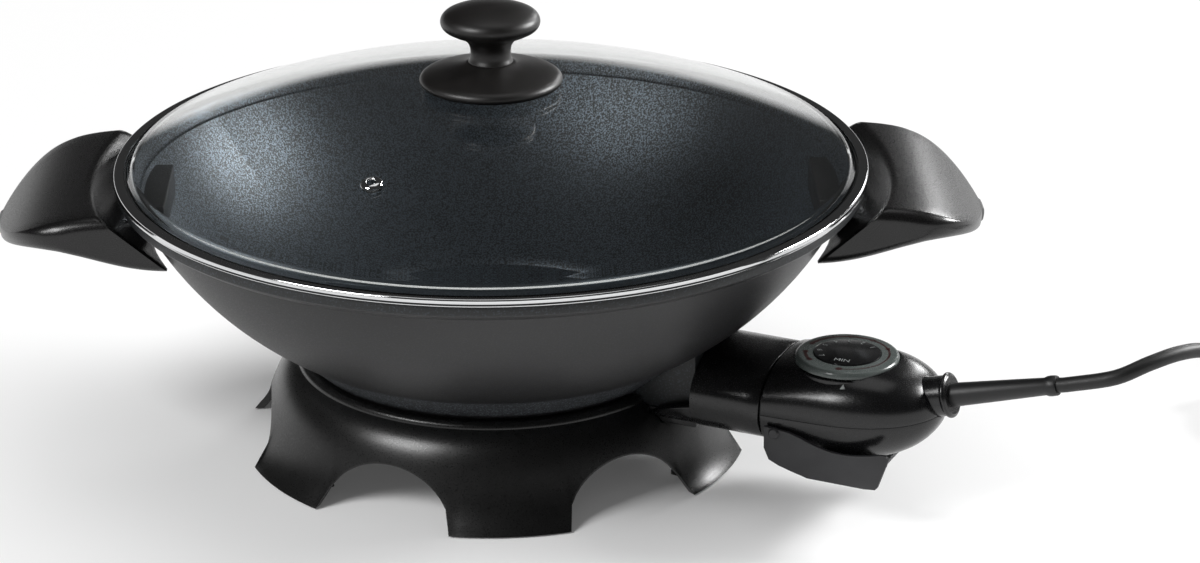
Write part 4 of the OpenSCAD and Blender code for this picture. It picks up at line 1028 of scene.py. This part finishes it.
def makeHousing(c):
    first = c["start"] - sleeve["end"]
    taper = c["length"] - c["belly"]
    stops = [first, first + 0.4, first + 2.5, 7, 11, 15, 19, 23]
    stops += [c["belly"] + taper * min(0.9995, math.sin(math.radians(90 * i / 24))) for i in range(25)]
    looks = [housingPlastic], "thermostat", "housing_plastic"
    seat, r = c["dialSeat"], c["dialRadius"]
    for side, name, node in ((1, "upperHousing", "housing_top"), (-1, "lowerHousing", "housing_bottom")):
        bm = moveAll(skin([housingSection(c, s, side) for s in stops], openRing=True), axisPlace)
        piece = finishPiece(name, bm, *looks, [node], 50)
        wall = piece.modifiers.new("wall", "SOLIDIFY")
        wall.thickness = c["wall"] * mm
        wall.offset = -1
        applyModifiers(piece)
        cuts = [cylinderBm(c["exitBore"], -9, 40, 96, exitPlace)]
        if side > 0:
            cuts.append(cylinderBm(r + 0.3, seat, seat + 20, 128, dialMiddle))
        carve(piece, cuts)
        roundEdges(piece, 0.6, 45)
        if side > 0:
            low = seat - 3.6
            ring = [(3.1, low), (r + 1.2, low), (r + 1.2, seat - 0.3), (r + 0.9, seat), (3.1, seat)]
            finishPiece("dialSeat", moveAll(lathe(ring, 128, closed=True), dialMiddle), *looks)


makeHousing(housing)
print("sleeve and housing made")


def makeRelief(c):
    back, tip, front, low = c["reliefBack"], c["reliefTip"], c["collarFront"], c["collarLow"]
    end = front + c["reliefLength"]
    collar = [(back + 0.1, low), (9.5, low), (9.5, front - 3.2)]
    collar += arcLine((9.4, front - 1.6), 1.25, -60, 90, 8) + [(9.0, front), (back + 0.1, front)]
    bm = moveAll(lathe(collar, 96, closed=True), exitPlace)
    finishPiece("leadCollar", bm, [housingPlastic], "thermostat", "housing_plastic", ["cord_collar"])
    body = [(0, low), (back, low), (back, front + 4), (tip - 0.3, end - 6), (tip + 0.3, end - 4.5)]
    body += [(tip + 0.4, end - 3), (tip + 0.3, end - 0.6), (tip, end), (0, end)]
    bm = moveAll(lathe(body, 96), exitPlace)
    finishPiece("taperedRelief", bm, [reliefRubber], "thermostat", "lead_rubber", ["strain_relief"])


makeRelief(lead)

dial = {
    "low": 71.1,
    "ringFace": 74.6,
    "discTop": 75.1,
    "discRadius": 15.7,
    "radius": 24.8,
    "figureRadius": 13.1,
    "figureStart": 49,  # degrees from the thermostat's axis to the 1
    "figureStep": 29.1,
    "figureSize": 3.7,
    "leastRadius": 10.5,
    "leastTurn": -82.6,
    "leastSize": 4.3,
    "scaleRadius": 19.6,
    "marks": [  # a dot is its turn and radius, a band its start, end and two widths
        (-80, 1.6),
        (-77, 36, 0.5, 1.1),
        (38, 1.2),
        (41, 72, 0.8, 1.4),
        (74, 1.3),
        (77, 104, 1.1, 1.7),
        (107, 1.4),
        (110, 166, 1.4, 2),
        (169, 1.4),
        (200, 1.4),
        (202, 226, 1.5, 1.5),
        (228, 1.4),
    ],
    "printDepth": 0.04,
}


def printedFigure(text, size, radius, turn):
    curve = bpy.data.curves.new("figure" + text, "FONT")
    curve.body = text
    curve.size = size * mm
    curve.extrude = dial["printDepth"] / 2 * mm
    curve.align_x = "CENTER"
    curve.align_y = "CENTER"
    lettering = bpy.data.objects.new("figure" + text, curve)
    scene.collection.objects.link(lettering)
    bpy.context.view_layer.update()
    solid = lettering.evaluated_get(bpy.context.evaluated_depsgraph_get())
    mesh = bpy.data.meshes.new_from_object(solid)
    bpy.data.objects.remove(lettering)
    around = Matrix.Rotation(math.radians(turn), 4, "Z")
    height = (dial["discTop"] + dial["printDepth"] / 2) * mm
    place = dialMiddle @ around @ Matrix.Translation((radius * mm, 0, height))
    mesh.transform(place @ Matrix.Rotation(math.pi / 2, 4, "Z"))
    mesh.materials.clear()
    mesh.materials.append(dialInk)
    piece = bpy.data.objects.new("figure" + text, mesh)
    scene.collection.objects.link(piece)
    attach(piece, "dial")


def scaleArc(start, end, startWidth, endWidth):  # a band of the scale, which widens as it goes round
    steps = max(int(abs(end - start) / 3), 3)
    outer, inner = [], []
    for i in range(steps + 1):
        a = math.radians(mixed(start, end, i / steps))
        half = mixed(startWidth, endWidth, i / steps) / 2
        for side, line in ((half, outer), (-half, inner)):
            r = dial["scaleRadius"] + side
            line.append((r * math.cos(a), r * math.sin(a)))
    return outer + inner[::-1]


def scaleDot(turn, radius):
    a = math.radians(turn)
    x, y = dial["scaleRadius"] * math.cos(a), dial["scaleRadius"] * math.sin(a)
    turns = [fullTurn * i / 20 for i in range(20)]
    return [(x + radius * math.cos(t), y + radius * math.sin(t)) for t in turns]


def makeDial(c):
    r = c["radius"]
    ring = [(c["discRadius"] + 0.1, c["low"] + 1), (c["discRadius"] + 0.1, c["ringFace"] - 0.3)]
    ring += [(c["discRadius"] + 0.4, c["ringFace"]), (r - 2.6, c["ringFace"])]
    face = c["ringFace"]
    roll = [(r - 2.6, face), (r - 1.0, face - 0.1), (r - 0.2, face - 1.0), (r, c["low"] + 0.4)]
    ring += bezierLine(roll, 8)[1:] + [(r - 0.5, c["low"]), (c["discRadius"] + 0.1, c["low"])]
    bm = moveAll(lathe(ring, 160, closed=True), dialMiddle)
    finishPiece("dialRing", bm, [dialSmoke], "dial", "dial_smoke", ["dial_ring"])
    disc = [(0, c["low"]), (c["discRadius"] - 2, c["low"]), (c["discRadius"], c["low"] + 1)]
    disc += [(c["discRadius"], c["discTop"] - 0.5), (c["discRadius"] - 0.2, c["discTop"] - 0.15)]
    disc += [(c["discRadius"] - 0.6, c["discTop"]), (0, c["discTop"])]
    bm = moveAll(lathe(disc, 128), dialMiddle)
    finishPiece("dialDisc", bm, [dialBlack], "dial", "dial_black", ["dial_disc"])
    printedFigure("MIN", c["leastSize"], c["leastRadius"], c["leastTurn"])
    for i in range(7):
        turn = c["figureStart"] + i * c["figureStep"]
        printedFigure(str(i + 1), c["figureSize"], c["figureRadius"], turn)
    for mark in c["marks"]:
        outline = scaleDot(*mark) if len(mark) == 2 else scaleArc(*mark)
        corners = [(x * mm, y * mm, c["ringFace"] * mm) for x, y in outline]
        bm = moveAll(addSlab(bmesh.new(), corners, (0, 0, c["printDepth"] * mm)), dialMiddle)
        finishPiece("scaleMark", bm, [dialRed], "dial", "dial_smoke")


def makePointer(c):
    corners = [Vector(point) * mm for point in c["pointer"]]
    bm = addSlab(bmesh.new(), corners, geometry.normal(corners) * 0.1 * mm)
    finishPiece("dialPointer", moveAll(bm, axisPlace), [dialInk], "thermostat", "housing_plastic")


makeDial(dial)
makePointer(housing)
print("dial made")

lever = {
    "inner": 34.2,
    "sheet": 2,
    "webLow": 24.4,
    "outline": [(158, 46.6), (158, 36), (160.5, 30.4), (165.5, 28.2), (172, 26.4), (180, 24.4)],
    "end": [(208, 24.4), (213.6, 25), (214.6, 26.1), (219.8, 41.2), (218.4, 42.8)],
    "edge": [(216, 42.7), (198, 38), (190, 38.4), (176, 44)],
}


def makeLever(c):
    outline = c["outline"] + c["end"] + bezierLine(c["edge"], 12) + [(170, 45.6)]
    bm = bmesh.new()
    for side in (-1, 1):
        corners = [(x * mm, side * c["inner"] * mm, z * mm) for x, z in outline]
        addSlab(bm, corners, (0, side * c["sheet"] * mm, 0))
    looks = [leverNylon], "lever", "lever_plastic", ["release_lever"]
    piece = finishPiece("releaseLever", moveAll(bm, axisPlace), *looks, 45)
    across, low = c["inner"] + 0.5, c["webLow"]
    web = boxBm((180, -across, low), (208, across, low + 1.8))
    carve(piece, [moveAll(web, axisPlace)], "UNION")
    roundEdges(piece, 0.4, 45)


makeLever(lever)
print("lever made")

nodeFinish = {
    platedSteel: ["probe_guide", "left_handle_bracket", "right_handle_bracket", "handle_screws"]
    + ["stand_screws", "knob_screw", "sensor_probe", "thermostat_frame", "housing_screws", "dial_shaft"],
    plugRubber: ["coil_tie", "mains_plug"],
    pinNickel: ["terminal_pins", "plug_pins"],
    ceramic: ["terminal_insulators", "switch_block"],
    heaterSteel: ["heating_element"],
    blackSteel: ["sleeve_screws"],
    leverNylon: ["lever_pins"],
    footRubber: ["rubber_feet"],
    washerSilicone: ["knob_washer"],
    nosePlastic: ["plug_nose"],
    brass: ["contact_sleeves"],
    bimetal: ["bimetal_blade"],
    lampGlass: ["pilot_lamp"],
}
for material, names in nodeFinish.items():
    for name in names:
        nodes[name].data.materials.clear()
        nodes[name].data.materials.append(material)
print("packed nodes finished:", sum(len(names) for names in nodeFinish.values()))

studio = {
    "floorHalf": 6.0,  # metres
    "floorColour": "#F2F2F2",
    "glowNear": 0.06,  # share of plain white on the floor where the camera, gloss or glass shows it
    "glowFar": 0.92,
    "nearRadius": 0.14,
    "farRadius": 0.4,
    "backdropColour": "#FFFFFF",
    "backdropSeen": 1.0,
    "backdropLight": 0.24,  # what the backdrop gives to the object
    "ceilingGlow": 0.035,  # the dark studio ceiling, seen in gloss
    "ceilingLow": 0.11,  # sine of the height at which the ceiling is fully dark
    "horizonHigh": 0.03,  # and at which the white backdrop ends
}


def seenItself(tree):  # 1 for the rays that show the background in the view, in gloss or through glass
    path = addNode(tree, "ShaderNodeLightPath")
    rays = {0: (path, "Is Glossy Ray"), 1: (path, "Is Transmission Ray")}
    shiny = addNode(tree, "ShaderNodeMath", links=rays, operation="MAXIMUM")
    rays = {0: (path, "Is Camera Ray"), 1: (shiny, 0)}
    seen = addNode(tree, "ShaderNodeMath", links=rays, operation="MAXIMUM")
    direct = addNode(tree, "ShaderNodeMath", {1: 0.5}, {0: (path, "Diffuse Depth")}, operation="LESS_THAN")
    both = {0: (seen, 0), 1: (direct, 0)}
    return path, addNode(tree, "ShaderNodeMath", links=both, operation="MULTIPLY")


def makeFloor(c):
    bm = bmesh.new()
    bmesh.ops.create_grid(bm, x_segments=1, y_segments=1, size=c["floorHalf"])
    floor = finishPiece("studioFloor", bm, [], None, None)
    material, tree, place = startMaterial("paleStudioFloor")
    seen = seenItself(tree)[1]
    away = addNode(tree, "ShaderNodeVectorMath", links={0: (place, "Object")}, operation="LENGTH")
    spread = {"From Min": c["nearRadius"], "From Max": c["farRadius"]}
    spread.update({"To Min": c["glowNear"], "To Max": c["glowFar"]})
    away = {"Value": (away, "Value")}
    amount = addNode(tree, "ShaderNodeMapRange", spread, away, interpolation_type="SMOOTHSTEP")
    share = addNode(tree, "ShaderNodeMath", links={0: (seen, 0), 1: (amount, 0)}, operation="MULTIPLY")
    values = {"Base Color": linear(c["floorColour"]), "Roughness": 0.9, "Specular IOR Level": 0.0}
    paper = addNode(tree, "ShaderNodeBsdfPrincipled", values)
    glow = addNode(tree, "ShaderNodeEmission", {"Color": linear(c["backdropColour"]), "Strength": 1.0})
    mix = addNode(tree, "ShaderNodeMixShader", links={0: (share, 0), 1: (paper, 0), 2: (glow, 0)})
    addNode(tree, "ShaderNodeOutputMaterial", links={"Surface": (mix, 0)})
    floor.data.materials.append(material)


def makeWorld(c):
    world = bpy.data.worlds.new("studioWorld")
    world.use_nodes = True
    tree = world.node_tree
    tree.nodes.clear()
    place = addNode(tree, "ShaderNodeTexCoord")
    way = addNode(tree, "ShaderNodeSeparateXYZ", links={0: (place, "Generated")})
    fade = {"From Min": c["horizonHigh"], "From Max": c["ceilingLow"]}
    fade.update({"To Min": c["backdropSeen"], "To Max": c["ceilingGlow"]})
    ceiling = addNode(tree, "ShaderNodeMapRange", fade, {"Value": (way, "Z")})
    path, seen = seenItself(tree)
    depth = {0: (path, "Glossy Depth")}
    inGloss = addNode(tree, "ShaderNodeMath", {1: 0.5}, depth, operation="GREATER_THAN")
    shown = addNode(tree, "ShaderNodeMix", {2: c["backdropSeen"]}, {0: (inGloss, 0), 3: (ceiling, 0)})
    strength = addNode(tree, "ShaderNodeMix", {2: c["backdropLight"]}, {0: (seen, 0), 3: (shown, 0)})
    colour = {"Color": linear(c["backdropColour"])}
    back = addNode(tree, "ShaderNodeBackground", colour, {"Strength": (strength, 0)})
    addNode(tree, "ShaderNodeOutputWorld", links={"Surface": (back, 0)})
    scene.world = world


lamps = [  # name, place and aim in metres, size in metres, watts
    ("rightSoftbox", (1.38, 0.45, 0.78), (-0.05, 0, 0.1), (0.5, 0.45), 32),
    ("leftSoftbox", (-1.12, -0.86, 1.2), (0, 0, 0.1), (0.8, 0.6), 24),
    ("backSoftbox", (0.95, 1.45, 0.75), (0.15, 0, 0.1), (0.4, 0.3), 6),
    ("topSoftbox", (0.1, 0.25, 2.1), (0, 0, 0.1), (1.4, 1.2), 5),
]


def makeLamps(rows, missed):  # flagged off the clear lid, which shows no lamp in its gloss
    flags = bpy.data.collections.new("lampFlags")
    flags.objects.link(missed)
    flags.collection_objects[0].light_linking.link_state = "EXCLUDE"
    for name, place, aim, size, watts in rows:
        data = bpy.data.lights.new(name, "AREA")
        data.shape = "RECTANGLE"
        data.size, data.size_y = size
        data.energy = watts
        lamp = bpy.data.objects.new(name, data)
        lamp.location = place
        lamp.rotation_euler = (Vector(aim) - Vector(place)).to_track_quat("-Z", "Y").to_euler()
        lamp.light_linking.receiver_collection = flags
        scene.collection.objects.link(lamp)


makeFloor(studio)
makeWorld(studio)
makeLamps(lamps, bpy.data.objects["domedGlass"])
scene.view_settings.view_transform = "Standard"
print("studio made")
